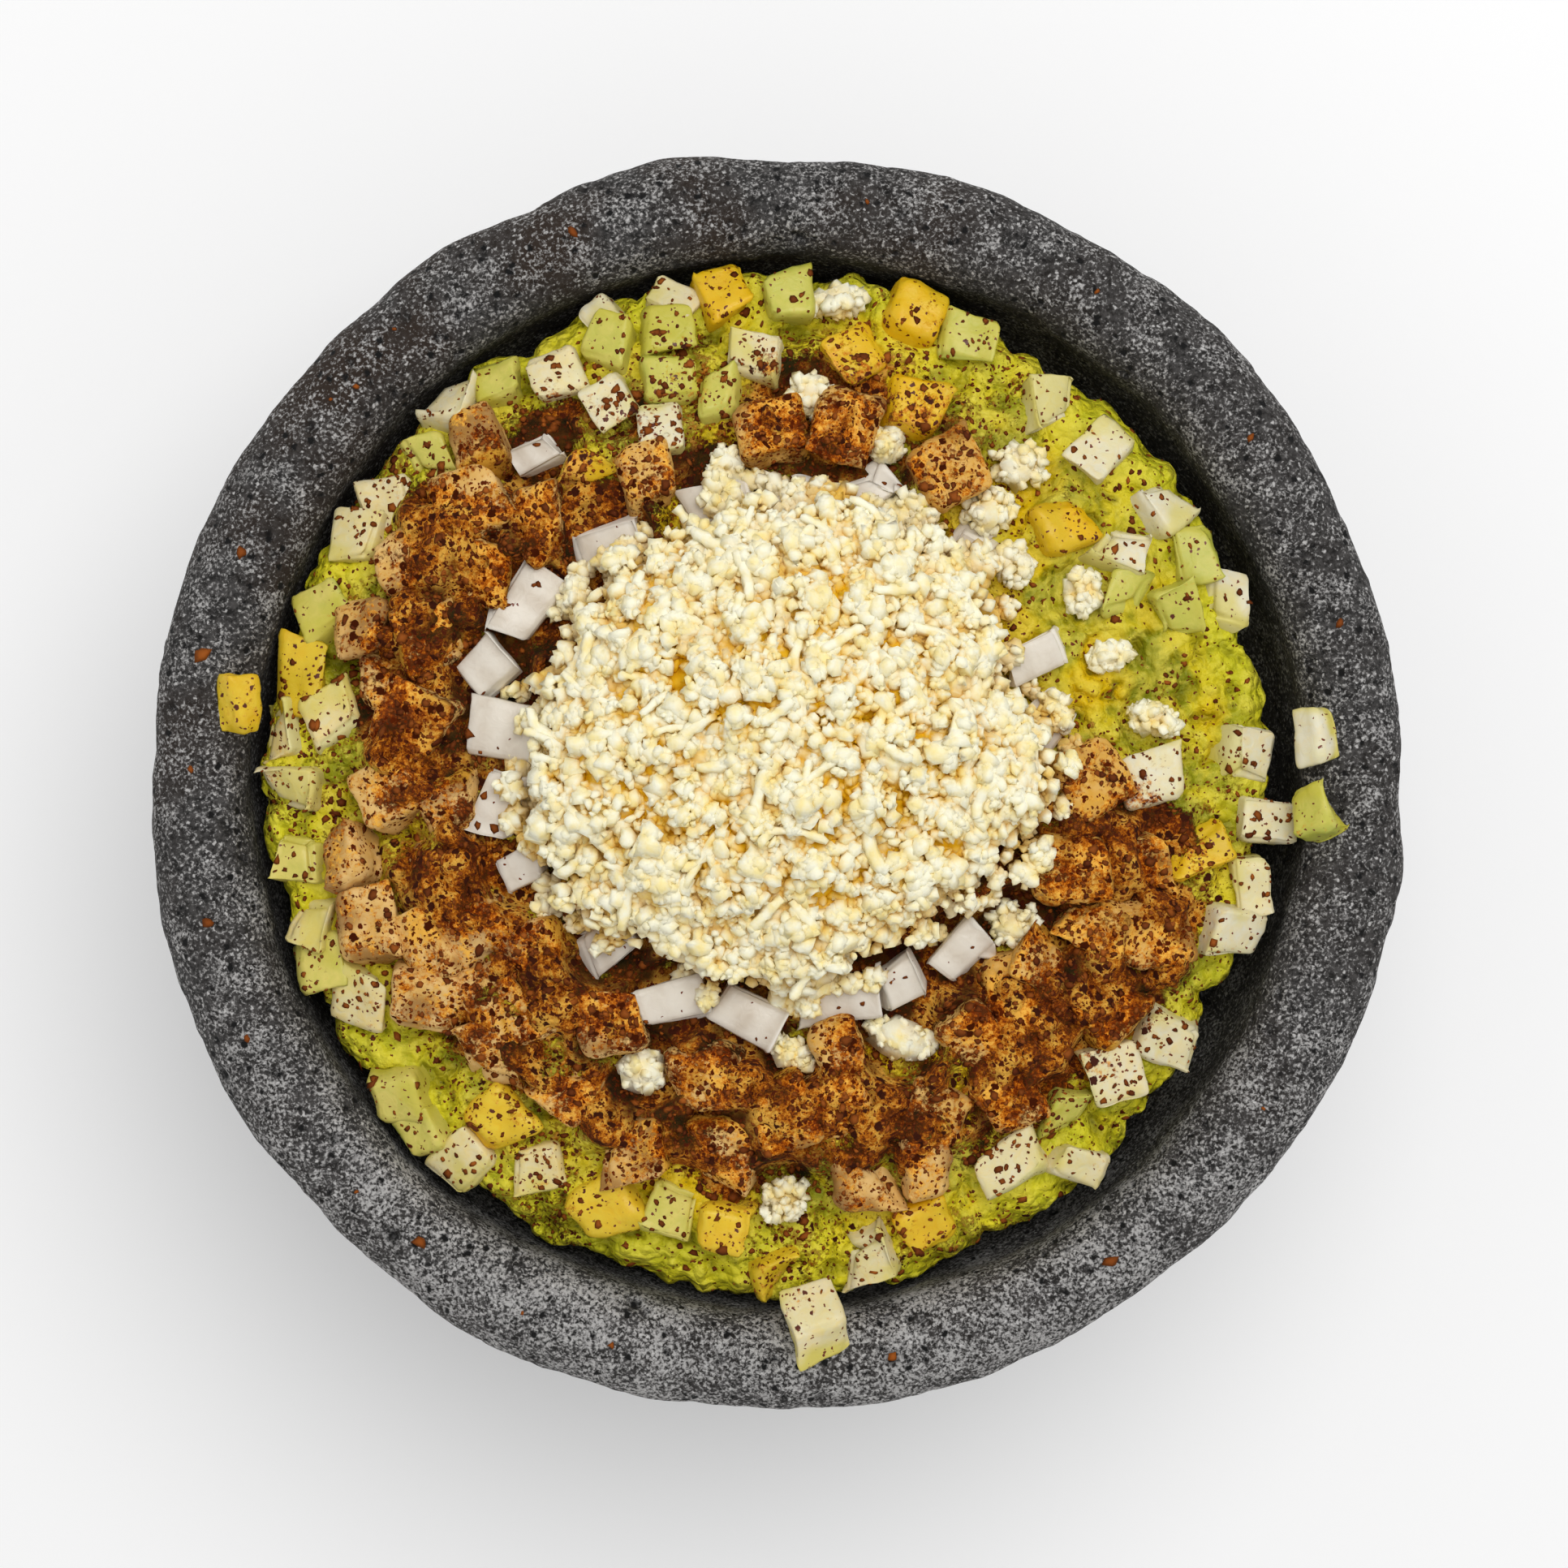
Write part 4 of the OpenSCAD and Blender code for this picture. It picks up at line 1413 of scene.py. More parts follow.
@dataclass
class DicedProduce:
    """Dice of one kind: knife-cut cubes pressed into the guacamole."""

    kind: Produce
    piece: str
    finish: CutProduce
    edge_mm: float
    grit_mm: float
    swell_mm: float
    powder: float
    least: float
    seed: int
    skew: float = 0.17
    cut: int = 6
    sink_mm: float = 1.7
    clear_mm: float = 0.45
    pale_turn: float = 215.0
    rinds: float = 0.4

    def build(self) -> Object:
        """Fills each solid of the node with a rounded, slightly skewed die.

        A die that would reach into the stone is moved in towards the axis, and one that lies on
        the rim sinks on to it and takes the rim's curve.

        Returns:
            All dice of the kind, with tone, skin and chilli cover at each corner.
        """
        rng = np.random.default_rng(self.seed)
        boxes = read_solids(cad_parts[self.kind.value])
        edge = self.edge_mm * rng.uniform(0.7, 1.3, len(boxes))
        points, outward, skin, quads = rounded_boxes(boxes, edge, self.cut, self.skew, rng)
        wear = self.swell_mm + self.grit_mm * (
            rough(points, 4.5, 3, self.seed) + 0.3 * noise(points, 0.9, self.seed + 5)
        )
        points = points + outward * wear[..., None]
        far = np.hypot(points[..., 0], points[..., 1])
        over = np.maximum(0, far - HOLLOW.radius(points[..., 2]) + 0.6).max(axis=1)
        perched = np.array([np.hypot(*b.middle[:2]) > HOLLOW.mouth_r for b in boxes])
        shift = np.where(perched, 0.6 * self.sink_mm, -over)[:, None]
        points[..., :2] += (unit(points[..., :2].mean(axis=1)) * shift)[:, None]
        points[..., 2] -= np.where(perched, 0.8 * self.sink_mm, 0)[:, None]
        far = np.hypot(points[..., 0], points[..., 1])
        seat = np.maximum(points[..., 2], HOLLOW.rim(far) - 0.35)
        points = np.where(perched[:, None, None], points, HOLLOW.inside(points, self.clear_mm))
        points[..., 2] = np.where(perched[:, None], seat, points[..., 2])
        count, corners = points.shape[:2]
        place = points.mean(axis=1)
        # Dice are paler towards the lower left, by their direction from the axis.
        way = np.arctan2(place[:, 1], place[:, 0]) - math.radians(self.pale_turn)
        paleness = 0.5 + 0.5 * np.cos(way)[:, None]
        own = 0.35 * rng.uniform(0, 1, (count, 1))
        tone = np.repeat(own + 0.65 * paleness, corners, axis=1)
        side = skin[None, :, 0] * rng.choice([-1, 1], (count, 1))
        rind = smooth(0.5, 1.0, side) * (rng.uniform(0, 1, (count, 1)) < self.rinds)
        facing = np.clip(0.6 + 0.5 * outward[..., 2], 0, 1)
        cover = self.powder * CHILLI.at(points[..., 0], points[..., 1])
        dust = np.clip(np.maximum(cover, self.least) * facing, 0, 1)
        # Painted shade with thick powder: deep darkens the lower part of each die under chilli.
        level = skin[None, :, 2] + 0.5 * noise(points, 3.0, self.seed + 9)
        low = smooth(1.0, 0.2, level) * smooth(0.3, 0.7, cover)
        smears = 0.6 * smooth(0.0, 0.6, rough(points, 7.0, 2, self.seed + 13))
        mash = np.maximum(0.85 * smooth(0.15, -0.55, level), smears)
        layers = {"tone": tone, "skin": rind, "dust": dust, "deep": low, "mash": mash}
        faces = [copies(quads, corners, count)]
        return make_object(self.piece, points.reshape(-1, 3), faces, layers)

    def dress(self) -> Object:
        """Builds the dice and puts them in place of the plain solids."""
        node = self.kind.value
        return put(self.build(), self.finish.make(), "filling", node, node)


@dataclass
class OnionPieces:
    """White onion cut across its layers: thin curved plates, glassy and faintly grey."""

    # Its side colour paints the veins, and the thin edges as a painted highlight.
    finish: CutProduce = CutProduce(
        "cut white onion", "#d8cfc0", "#c8bba9", "#e6dfd2", roughness=0.22, glow=(1.0, 1.0, 1.0)
    )
    edge_mm: float = 0.5
    bow: float = 0.12
    spread: float = 1.06
    tilt: float = 0.24
    vein_mm: float = 2.6
    skew: float = 0.22
    clear_mm: float = 0.45
    dusted: float = 0.03
    seed: int = 404

    def build(self) -> Object:
        """Bends a rounded plate into each solid: its height falls with the square of its length.

        Each plate tips a little to two sides, pale veins run along it, its tone leans across it as
        painted shading, and its thin edge is painted pale as a highlight.

        Returns:
            All plates in one piece.
        """
        rng = np.random.default_rng(self.seed)
        boxes = read_solids(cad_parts["onion_pieces"])
        edge = np.full(len(boxes), self.edge_mm)
        points, outward, skin, quads = rounded_boxes(boxes, edge, 8, self.skew, rng)
        count, corners = points.shape[:2]
        half = np.stack([b.half for b in boxes])
        up = np.stack([b.axes[2] for b in boxes])
        flat_at = skin[None, :, :2] * half[:, None, :2]
        bow = self.bow * rng.uniform(0.5, 1.2, (count, 1))
        arch = bow * (half[:, None, 0] ** 2 * 0.5 - flat_at[..., 0] ** 2)
        points = points + up[:, None] * arch[..., None]
        middle = np.stack([b.middle for b in boxes])[:, None]
        rise = np.einsum("dvk,dk->dv", points - middle, up)[..., None] * up[:, None]
        wide = self.spread * rng.uniform(0.8, 1.1, (count, 1, 1))
        points = middle + rise + (points - middle - rise) * wide
        tip = rng.uniform(-self.tilt, self.tilt, (count, 1, 2))
        clear = 0.4 * np.abs(tip * half[:, None, :2]).sum(axis=-1)
        points = points + up[:, None] * ((tip * flat_at).sum(axis=-1) + clear)[..., None]
        points = points + outward * (0.16 * rough(points, 4.0, 2, 7))[..., None]
        points = HOLLOW.inside(points, self.clear_mm)
        # Painted shading: the tone leans across each plate in a random direction.
        lean = np.einsum("dk,vk->dv", rng.uniform(-1, 1, (count, 2)), skin[:, :2])
        tone = np.clip(rng.uniform(0, 1, (count, 1)) + 0.55 * lean, 0, 1)
        phase = rng.uniform(0, TURN, (count, 1))
        vein = 0.5 + 0.5 * np.sin(TURN * flat_at[..., 1] / self.vein_mm + phase)
        # Painted highlight: the plate's thin edge is painted pale.
        rim = smooth(0.6, 1.0, np.abs(skin[:, :2]).max(axis=1))
        pale = np.maximum(0.6 * vein, rim[None])
        bare = np.zeros_like(tone)
        dust = self.dusted * CHILLI.at(points[..., 0], points[..., 1])
        layers = {"tone": tone, "skin": pale, "dust": dust, "deep": bare, "mash": bare}
        faces = [copies(quads, corners, count)]
        return make_object("onion_plates", points.reshape(-1, 3), faces, layers)

    def dress(self) -> Object:
        """Builds the plates and puts them in place of the plain solids."""
        node = "onion_pieces"
        return put(self.build(), self.finish.make(), "filling", node, node)


# ------------------------------------------------------------------ the cheese


def curds(middle: Array, radius: Array, rng: Rng) -> tuple[Array, Array]:
    """Small lumps of curd: blunt cubes to balls, stretched, dented and turned at random.

    A corner of a cube's skin is divided by its power mean, whose power is 2 for a ball and
    higher for a blunter cube.

    Args:
        middle: Middles of the lumps in mm, shape (G, 3).
        radius: Mean radius of each lump in mm.
        rng: Source of the shapes.

    Returns:
        Points, shape (G, V, 3), and the quads of one lump.
    """
    skin, quads = cube_skin(np.array([-1.0, 0.0, 1.0]))
    count, corners = len(middle), len(skin)
    power = rng.uniform(2.0, 5.0, (count, 1, 1))
    ball = skin / (np.abs(skin[None]) ** power).sum(axis=-1, keepdims=True) ** (1 / power)
    dent = 1 + rng.uniform(-0.32, 0.32, (count, corners, 1))
    stretch = rng.uniform(0.62, 1.38, (count, 1, 3))
    local = ball * dent * stretch * radius[:, None, None]
    return middle[:, None] + np.einsum("gvk,gkj->gvj", local, random_turns(rng, count)), quads


def clusters(middle: Array, size: Array, each: int, rng: Rng) -> tuple[Array, Array]:
    """Compact crumbs: one large curd in the middle, and small curds set into its skin.

    Args:
        middle: Middles of the crumbs in mm, shape (C, 3).
        size: Radius of each crumb in mm.
        each: Small curds on a crumb.
        rng: Source of the places.

    Returns:
        Middles of all curds, shape (G, 3), and their radii.
    """
    count = len(middle)
    way = unit(rng.normal(size=(count, each, 3)))
    out = size[:, None, None] * rng.uniform(0.55, 0.84, (count, each, 1))
    small = middle[:, None] + way * out * np.array([1.1, 1.0, 0.8])
    radius = 0.5 + 0.6 * rng.beta(1.6, 2.0, (count, each))
    spots = np.concatenate([middle, small.reshape(-1, 3)])
    return spots, np.concatenate([0.62 * size, radius.ravel()])


@dataclass
class CheeseHeap:
    """Heap of crumbled cheese: knots of small curds and grated shreds over a close core."""

    spread_r: float = 44.0
    rise: float = 17.0
    rim_t: float = 3.0
    base_z: float = 111.6
    clump_r: float = 6.5
    clump_h: float = 3.0
    clump_count: int = 52
    curd_room: float = 1.4
    filled: float = 0.93
    knot_pitch: float = 4.2
    knot_r: float = 2.7
    layer_pitch: float = 1.5
    knot_curds: int = 20
    skirt_curds: int = 700
    crumbs: int = 150
    crumb_curds: int = 13
    shreds: int = 80
    sectors: int = 5
    seed: int = 1207
    bays: tuple[float, ...] = (
        1.02, 0.83, 0.94, 0.93, 0.92, 0.92, 0.87, 0.93, 0.86, 0.89, 0.90, 0.92,
        0.94, 0.98, 0.97, 1.02, 0.92, 0.93, 0.96, 0.91, 0.85, 0.85, 0.94, 1.05,
    )  # fmt: skip

    def outline(self, a: Array) -> Array:
        """Edge of the heap: shares of the radius every 15 degrees, joined up.

        Args:
            a: Directions in radians.

        Returns:
            Radii in mm.
        """
        turn = np.degrees(a) % 360
        bays = np.interp(turn, np.linspace(0, 360, 25), self.bays + self.bays[:1])
        return self.spread_r * self.filled * bays

    def share(self, x: Array, y: Array) -> Array:
        """How far a point lies from the heap's middle (0) to its edge (1)."""
        u, v = x - HOLLOW.heap_x, y - HOLLOW.heap_y
        return np.hypot(u, v) / self.outline(np.arctan2(v, u))

    def clumps(self, x: Array, y: Array) -> Array:
        """Rise of the clumps: the highest of the round tops that reach a place.

        The tops follow a spiral that spaces them evenly, and each lies a little off it.

        Args:
            x: Places to the right in mm.
            y: Places to the back in mm.

        Returns:
            Heights over the heap's dome in mm.
        """
        k = np.arange(1, self.clump_count + 1)
        a = np.radians(137.5 * k % 360)
        far = self.outline(a) * 0.96 * np.sqrt((k - 0.5) / self.clump_count)
        stray = self.clump_r * 0.56
        cx = far * np.cos(a) + stray * np.sin(np.radians(211 * k))
        cy = far * np.sin(a) + stray * np.sin(np.radians(283 * k + 60))
        wide = self.clump_r * (0.8 + 0.2 * np.sin(np.radians(97 * (k - 1))))
        tall = 0.85 + 0.15 * np.sin(np.radians(151 * (k - 1)))
        best = np.zeros_like(x)
        for px, py, r, h in zip(cx + HOLLOW.heap_x, cy + HOLLOW.heap_y, wide, tall):
            best = np.maximum(best, h - ((x - px) ** 2 + (y - py) ** 2) / r**2)
        return self.clump_h * best

    def top(self, x: Array, y: Array) -> Array:
        """Height of the heap's surface: a cosine dome and its clumps, less room for the curds.

        Args:
            x: Places to the right in mm.
            y: Places to the back in mm.

        Returns:
            Heights in mm.
        """
        t = np.clip(self.share(x, y), 0, 1)
        dome = self.rim_t + (self.rise - self.rim_t - self.clump_h) * np.cos(t * math.pi / 2) ** 0.9
        return self.base_z + dome + self.clumps(x, y) - self.curd_room

    def spot(self, share: Array, a: Array) -> tuple[Array, Array]:
        """Plan places at a share of the heap's radius in a direction."""
        return polar(share * self.outline(a), a, HOLLOW.heap_x, HOLLOW.heap_y)

    def around(self, rng: Rng, count: int, near: float, far: float) -> tuple[Array, Array]:
        """Random places on the heap's plan, evenly spread between two shares of its radius."""
        share = np.sqrt(rng.uniform(near**2, far**2, count))
        return self.spot(share, rng.uniform(0, TURN, count))

    def sown(self, rng: Rng, pitch: float, far: float) -> tuple[Array, Array]:
        """Places on a square grid, each moved at random, out to a ragged share of the radius.

        Args:
            rng: Source of the moves.
            pitch: Spacing of the grid in mm.
            far: Share of the radius where the places end.

        Returns:
            Places to the right and to the back in mm.
        """
        line = np.arange(-self.spread_r - 4, self.spread_r + 4, pitch)
        gx, gy = (
            middle + g.ravel() + rng.uniform(-0.5, 0.5, g.size) * pitch
            for middle, g in zip((HOLLOW.heap_x, HOLLOW.heap_y), np.meshgrid(line, line))
        )
        keep = self.share(gx, gy) < far + 0.04 * rng.normal(size=gx.shape)
        return gx[keep], gy[keep]

    def scatter(self, food: list[Object], rng: Rng) -> tuple[Array, Array]:
        """Spreads the curds: a low layer, knots of small curds on it, a skirt and a ragged edge.

        A knot is a handful of curds in a disc, higher in its middle. The crumbs of the edge lie
        on the food under them, or on the heap's rim.

        Args:
            food: Pieces that the edge's crumbs can lie on.
            rng: Source of the places.

        Returns:
            Middles (G, 3) and radii (G,) in mm.
        """
        gx, gy = self.sown(rng, self.layer_pitch, 0.95)
        layer = np.stack([gx, gy, self.top(gx, gy) + rng.uniform(-0.5, 0.5, gx.shape)], -1)
        layer_r = rng.uniform(0.75, 1.25, len(layer))
        gx, gy = (g[:, None] for g in self.sown(rng, self.knot_pitch, 0.96))
        many = (len(gx), self.knot_curds)
        out = np.sqrt(rng.uniform(0, 1, many))
        way = rng.uniform(0, TURN, many)
        wide = self.knot_r * rng.uniform(0.7, 1.15, (len(gx), 1))
        kx, ky = polar(wide * out, way, gx, gy)
        kz = self.top(kx, ky) + 0.9 + 1.6 * (1 - out**2) * rng.uniform(0.3, 1.1, (len(gx), 1))
        kz = kz + rng.uniform(-0.45, 0.4, kz.shape)
        knots = np.stack([kx, ky, kz], -1).reshape(-1, 3)
        knots_r = 0.42 + 1.25 * rng.beta(1.2, 2.8, len(knots))
        x, y = self.around(rng, self.skirt_curds, 0.82, 1.0)
        foot = land(food, x, y)[0][:, 2] + 0.5
        z = foot + np.maximum(0, self.base_z + 2.0 - foot) * rng.uniform(0, 1, len(x))
        skirt = np.stack([x, y, z], -1)
        skirt_r = rng.uniform(0.7, 1.2, len(skirt))
        x, y = self.around(rng, self.crumbs, 0.92, 1.12)
        lying = np.stack([x, y, land(food, x, y)[0][:, 2] + 1.1], -1)
        size = rng.uniform(1.5, 2.7, self.crumbs)
        edge, edge_r = clusters(lying, size, self.crumb_curds, rng)
        middle = np.concatenate([layer, knots, skirt, edge])
        return middle, np.concatenate([layer_r, knots_r, skirt_r, edge_r])

    def core(self) -> tuple[Array, list[Array]]:
        """Closed core under the curds: rings over the clumps with grains, and a level underside.

        Returns:
            Corners in mm, and faces.
        """
        columns, rows = 360, 90
        shares = np.concatenate([np.linspace(0.02, 0.93, rows), [0.9, 0.5, 0.1]])
        x, y = self.spot(shares[:, None], circle(columns)[None])
        over = self.top(x, y) + 0.1 + 1.3 * lumps(flat(x, y), 2.0, 97)
        z = np.maximum(over, self.base_z + 0.4)
        z[rows:] = self.base_z
        rings = np.stack([x, y, z], -1).reshape(-1, 3)
        poles = [[HOLLOW.heap_x, HOLLOW.heap_y, h] for h in (z[0].mean(), self.base_z)]
        points = np.concatenate([poles[:1], rings, poles[1:]])
        return points, ring_faces(len(shares), columns)

    def grated(self, rng: Rng) -> tuple[Array, list[Array]]:
        """Grated shreds: six-sided strands carried along curved paths over the heap.

        A path runs through a random place, and its direction turns at a steady rate. Each ring
        is a jagged ellipse across the path, which narrows towards the ends.

        Args:
            rng: Source of the paths.

        Returns:
            Points of each strand, shape (S, V, 3), and the faces of one strand.
        """
        rings, sides, count = 9, 6, self.shreds
        sx, sy = self.around(rng, count, 0, 0.98)
        long = rng.uniform(4.0, 10.5, count)[:, None]
        bend = rng.normal(0, 0.1, count)[:, None]
        head = rng.uniform(0, TURN, count)[:, None]
        s = np.linspace(-0.5, 0.5, rings)[None] * long
        turn = head + bend * s
        step = long / (rings - 1)
        x = sx[:, None] + (np.cumsum(np.cos(turn), axis=1) - rings / 2 * np.cos(head)) * step
        y = sy[:, None] + (np.cumsum(np.sin(turn), axis=1) - rings / 2 * np.sin(head)) * step
        z = self.top(x, y)
        z = 0.7 * z + 0.3 * z.mean(axis=1, keepdims=True) + rng.uniform(1.5, 2.5, (count, 1))
        across = np.stack([-np.sin(turn), np.cos(turn), np.zeros_like(turn)], -1)
        swell = (1 - (2 * np.abs(s) / long) ** 10 * 0.3)[..., None, None]
        wide = rng.uniform(0.6, 1.0, (count, 1, 1, 1))
        wide = wide * (1 + 0.3 * rng.uniform(-1, 1, (count, rings, sides, 1)))
        b = circle(sides)[None, None, :, None]
        ring = wide * (across[:, :, None] * np.cos(b) + np.array([0, 0, 0.8]) * np.sin(b))
        spine = np.stack([x, y, z], -1)
        body = (spine[:, :, None] + ring * swell).reshape(count, -1, 3)
        points = np.concatenate([spine[:, :1], body, spine[:, -1:]], axis=1)
        return points, ring_faces(rings, sides)

    def sector(self, p: Array) -> Array:
        """Number of the slice of the heap that each point lies in."""
        turn = np.degrees(np.arctan2(p[:, 1] - HOLLOW.heap_y, p[:, 0] - HOLLOW.heap_x)) % 360
        return (turn * self.sectors / 360).astype(int)

    def lid(self, p: Array, places: Array) -> Array:
        """Smoothed height of the highest curds over each place.

        The highest point in each cell of a grid is kept, and the grid is averaged over a few
        cells to all sides.

        Args:
            p: Points of all curds in mm.
            places: Points to look up.

        Returns:
            Height over each place in mm.
        """
        pitch, reach = 0.9, 2
        low = p[:, :2].min(axis=0) - pitch * (reach + 1)
        spot = ((p[:, :2] - low) / pitch).astype(int)
        high = np.zeros(spot.max(axis=0) + reach + 2)
        np.maximum.at(high, (spot[:, 0], spot[:, 1]), p[:, 2])
        full = (high > 0).astype(float)
        steps = range(-reach, reach + 1)
        shifts = [(i, j) for i in steps for j in steps]
        total = sum(np.roll(high, step, axis=(0, 1)) for step in shifts)
        mean = total / np.maximum(sum(np.roll(full, step, axis=(0, 1)) for step in shifts), 1)
        look = np.clip(((places[:, :2] - low) / pitch).astype(int), 0, np.array(high.shape) - 1)
        return mean[look[:, 0], look[:, 1]]

    def tint(self, obj: Object, curd_points: Array) -> None:
        """Marks painted shade in recesses: how far a corner lies under the curds around it, less at
        the edge.

        Args:
            obj: The piece to mark.
            curd_points: Points of all curds in mm.
        """
        p, _ = read_corners(obj.data)
        under = self.lid(curd_points, p) - p[:, 2]
        rim = smooth(0.55, 1.0, self.share(p[:, 0], p[:, 1]))
        warm = 1.05 + 0.4 * noise(p, 9.0, 131) - 0.55 * rim
        # Painted shade: the deeper a corner lies under the curds, the more recess colour.
        set_layer(obj.data, "recess", np.clip(smooth(0.1, 2.0, under) * warm, 0, 1))

    def build(self, food: list[Object]) -> list[Object]:
        """Makes the core, and the curds and shreds of each slice of the heap.

        Args:
            food: Pieces that the edge's crumbs can lie on.

        Returns:
            The core and the slices.
        """
        rng = np.random.default_rng(self.seed)
        middle, radius = self.scatter(food, rng)
        balls, quads = curds(middle, radius, rng)
        strands, strand_faces = self.grated(rng)
        corners = len(balls[0])
        made = [make_object("cheese_core", *self.core())]
        for k in range(self.sectors):
            mine = balls[self.sector(middle) == k]
            long = strands[self.sector(strands.mean(axis=1)) == k]
            points = np.concatenate([mine.reshape(-1, 3), long.reshape(-1, 3)])
            after = len(mine) * corners
            faces = [copies(quads, corners, len(mine))]
            faces += [copies(f, long.shape[1], len(long)) + after for f in strand_faces]
            made.append(make_object(f"cheese_curds_{k + 1}", points, faces))
        for obj in made:
            self.tint(obj, balls.reshape(-1, 3))
        return made

    def dress(self, food: list[Object]) -> list[Object]:
        """Builds the heap on the food and puts its core in place of the plain solid.

        Args:
            food: Pieces that the edge's crumbs can lie on.

        Returns:
            The core and the slices.
        """
        core, *slices = self.build(food)
        finish, node = CrumbledCheese().make(), "cheese_heap"
        put(core, finish, "cheese", node, node)
        return [core] + [put(obj, finish, "cheese", node) for obj in slices]


@dataclass
class LooseCheese:
    """Crumbs of cheese that rolled off the heap: small clusters of curds."""

    each: int = 70
    spread: float = 1.15
    seed: int = 88

    def dress(self) -> Object:
        """Packs curds into the ball of each solid and puts them in its place.

        Returns:
            All crumbs in one piece.
        """
        rng = np.random.default_rng(self.seed)
        balls = read_solids(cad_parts["cheese_crumbs"])
        middle = np.stack([b.middle for b in balls])
        size = np.stack([b.half.mean() for b in balls]) * self.spread
        spots, radius = clusters(middle, size, self.each, rng)
        number = np.arange(len(middle))
        own = np.concatenate([number, np.repeat(number, self.each)])
        way = rng.uniform(0, math.pi, len(middle))[own]
        along = np.stack([np.cos(way), np.sin(way), np.zeros(len(own))], -1)
        off = spots - middle[own]
        part = (off * along).sum(axis=-1, keepdims=True) * along
        long = rng.uniform(1.0, 1.5, (len(middle), 1))[own]
        level = np.array([1.0, 1.0, 0.0])
        spots = spots + part * (long - 1) + (off - part) * level * (1 / long - 1) * 0.8
        points, quads = curds(spots, radius, rng)
        faces = [copies(quads, points.shape[1], len(points))]
        nearest = np.linalg.norm(points[:, :, None] - middle, axis=-1)
        ball = nearest.argmin(axis=-1)
        under = 1 - np.take_along_axis(nearest, ball[..., None], -1)[..., 0] / size[ball]
        # Painted shade: curds nearer a crumb's middle take more of the recess colour.
        layers = {"recess": 0.3 * smooth(0.1, 0.5, under)}
        obj = make_object("loose_crumbs", points.reshape(-1, 3), faces, layers)
        return put(obj, CrumbledCheese().make(), "filling", "cheese_crumbs", "cheese_crumbs")


# ------------------------------------------------------------------ the chilli


@dataclass
class ChilliFlakes:
    """Coarse flakes of chilli: on the food where the powder fell, and a few on the rim."""

    count: int = 8000
    sides: int = 7
    reach_r: float = 81.5
    tries: int = 8
    caught: float = 0.75
    on_onion: float = 0.06
    raise_mm: float = 0.06
    rim_scale: float = 1.6
    seed: int = 515

    def flakes(self, spots: Array, normals: Array, rng: Rng) -> tuple[Array, Array, Array]:
        """Ragged flakes: a ring of corners round each spot, with a low peak above and below.

        Args:
            spots: Places in mm, shape (F, 3).
            normals: Directions out of the surface.
            rng: Source of sizes and turns.

        Returns:
            Points (F, V, 3), triangles, and tones (F, V).
        """
        count = len(spots)
        side = unit(np.cross(normals, rng.normal(size=(count, 3))))
        other = np.cross(normals, side)
        long = rng.gamma(4.0, 0.085, count) + 0.16
        long = np.where(rng.uniform(0, 1, count) < 0.045, rng.uniform(0.7, 1.3, count), long)
        wide = long * rng.uniform(0.5, 0.95, count)
        thick = rng.uniform(0.1, 0.2, count)
        k = np.arange(self.sides)
        turn = TURN * (k + rng.uniform(-0.35, 0.35, (count, self.sides))) / self.sides
        jag = rng.uniform(0.62, 1.15, (count, self.sides))
        along = (long[:, None] * jag * np.cos(turn))[..., None]
        over = (wide[:, None] * jag * np.sin(turn))[..., None]
        ring = side[:, None] * along + other[:, None] * over
        lift = (normals * thick[:, None])[:, None]
        points = np.concatenate([ring, lift, -lift], axis=1)
        points = points + (spots + normals * self.raise_mm)[:, None]
        after, top = (k + 1) % self.sides, np.full(self.sides, self.sides)
        tri = np.concatenate([np.stack([k, after, top], -1), np.stack([after, k, top + 1], -1)])
        tone = np.repeat(rng.beta(1.5, 2.2, (count, 1)), self.sides + 2, axis=1)
        return points, copies(tri, self.sides + 2, count), tone

    def on_food(self, food: list[Object]) -> Object:
        """Drops flakes straight down on the food, more of them where the powder is thick.

        Args:
            food: Pieces that can catch a flake; few flakes stay on the last one, the onion.

        Returns:
            The flakes on the food.
        """
        rng = np.random.default_rng(self.seed)
        tries = self.count * self.tries
        r = self.reach_r * np.sqrt(rng.uniform(0, 1, tries))
        x, y = polar(r, rng.uniform(0, TURN, tries))
        caught = rng.uniform(0, 1, tries) < self.caught * CHILLI.at(x, y)
        keep = np.flatnonzero(caught)[: self.count]
        luck = rng.uniform(0, 1, len(keep))
        spots, normals, which = land(food, x[keep], y[keep])
        stays = (which >= 0) & ((which != len(food) - 1) | (luck < self.on_onion))
        points, tri, tone = self.flakes(spots[stays], normals[stays], rng)
        return make_object("chilli_on_food", points.reshape(-1, 3), [tri], {"tone": tone})

    def on_rim(self, mortar: Object) -> Object:
        """Lays a flake on the stone at each solid of the rim's flakes.

        Args:
            mortar: The stone that the flakes lie on.

        Returns:
            The flakes on the rim.
        """
        rng = np.random.default_rng(self.seed + 1)
        boxes = read_solids(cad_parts["chilli_flakes"])
        x, y, _ = np.stack([b.middle for b in boxes]).T
        spots, normals, _ = land([mortar], x, y)
        points, tri, tone = self.flakes(spots, normals, rng)
        points = spots[:, None] + (points - spots[:, None]) * self.rim_scale
        layers = {"tone": 0.4 + 0.6 * tone}
        return make_object("chilli_on_rim", points.reshape(-1, 3), [tri], layers)

    def dress(self, food: list[Object], mortar: Object) -> list[Object]:
        """Builds both groups of flakes and sets them on what carries them.

        Args:
            food: Pieces that can catch a flake.
            mortar: The stone that the rim's flakes lie on.

        Returns:
            The flakes on the food and on the rim.
        """
        finish, node = GroundChilli().make(), "chilli_flakes"
        fallen = put(self.on_food(food), finish, "filling", node)
        return [fallen, put(self.on_rim(mortar), finish, "bowl", node, node)]


# ------------------------------------------------------------------ the studio


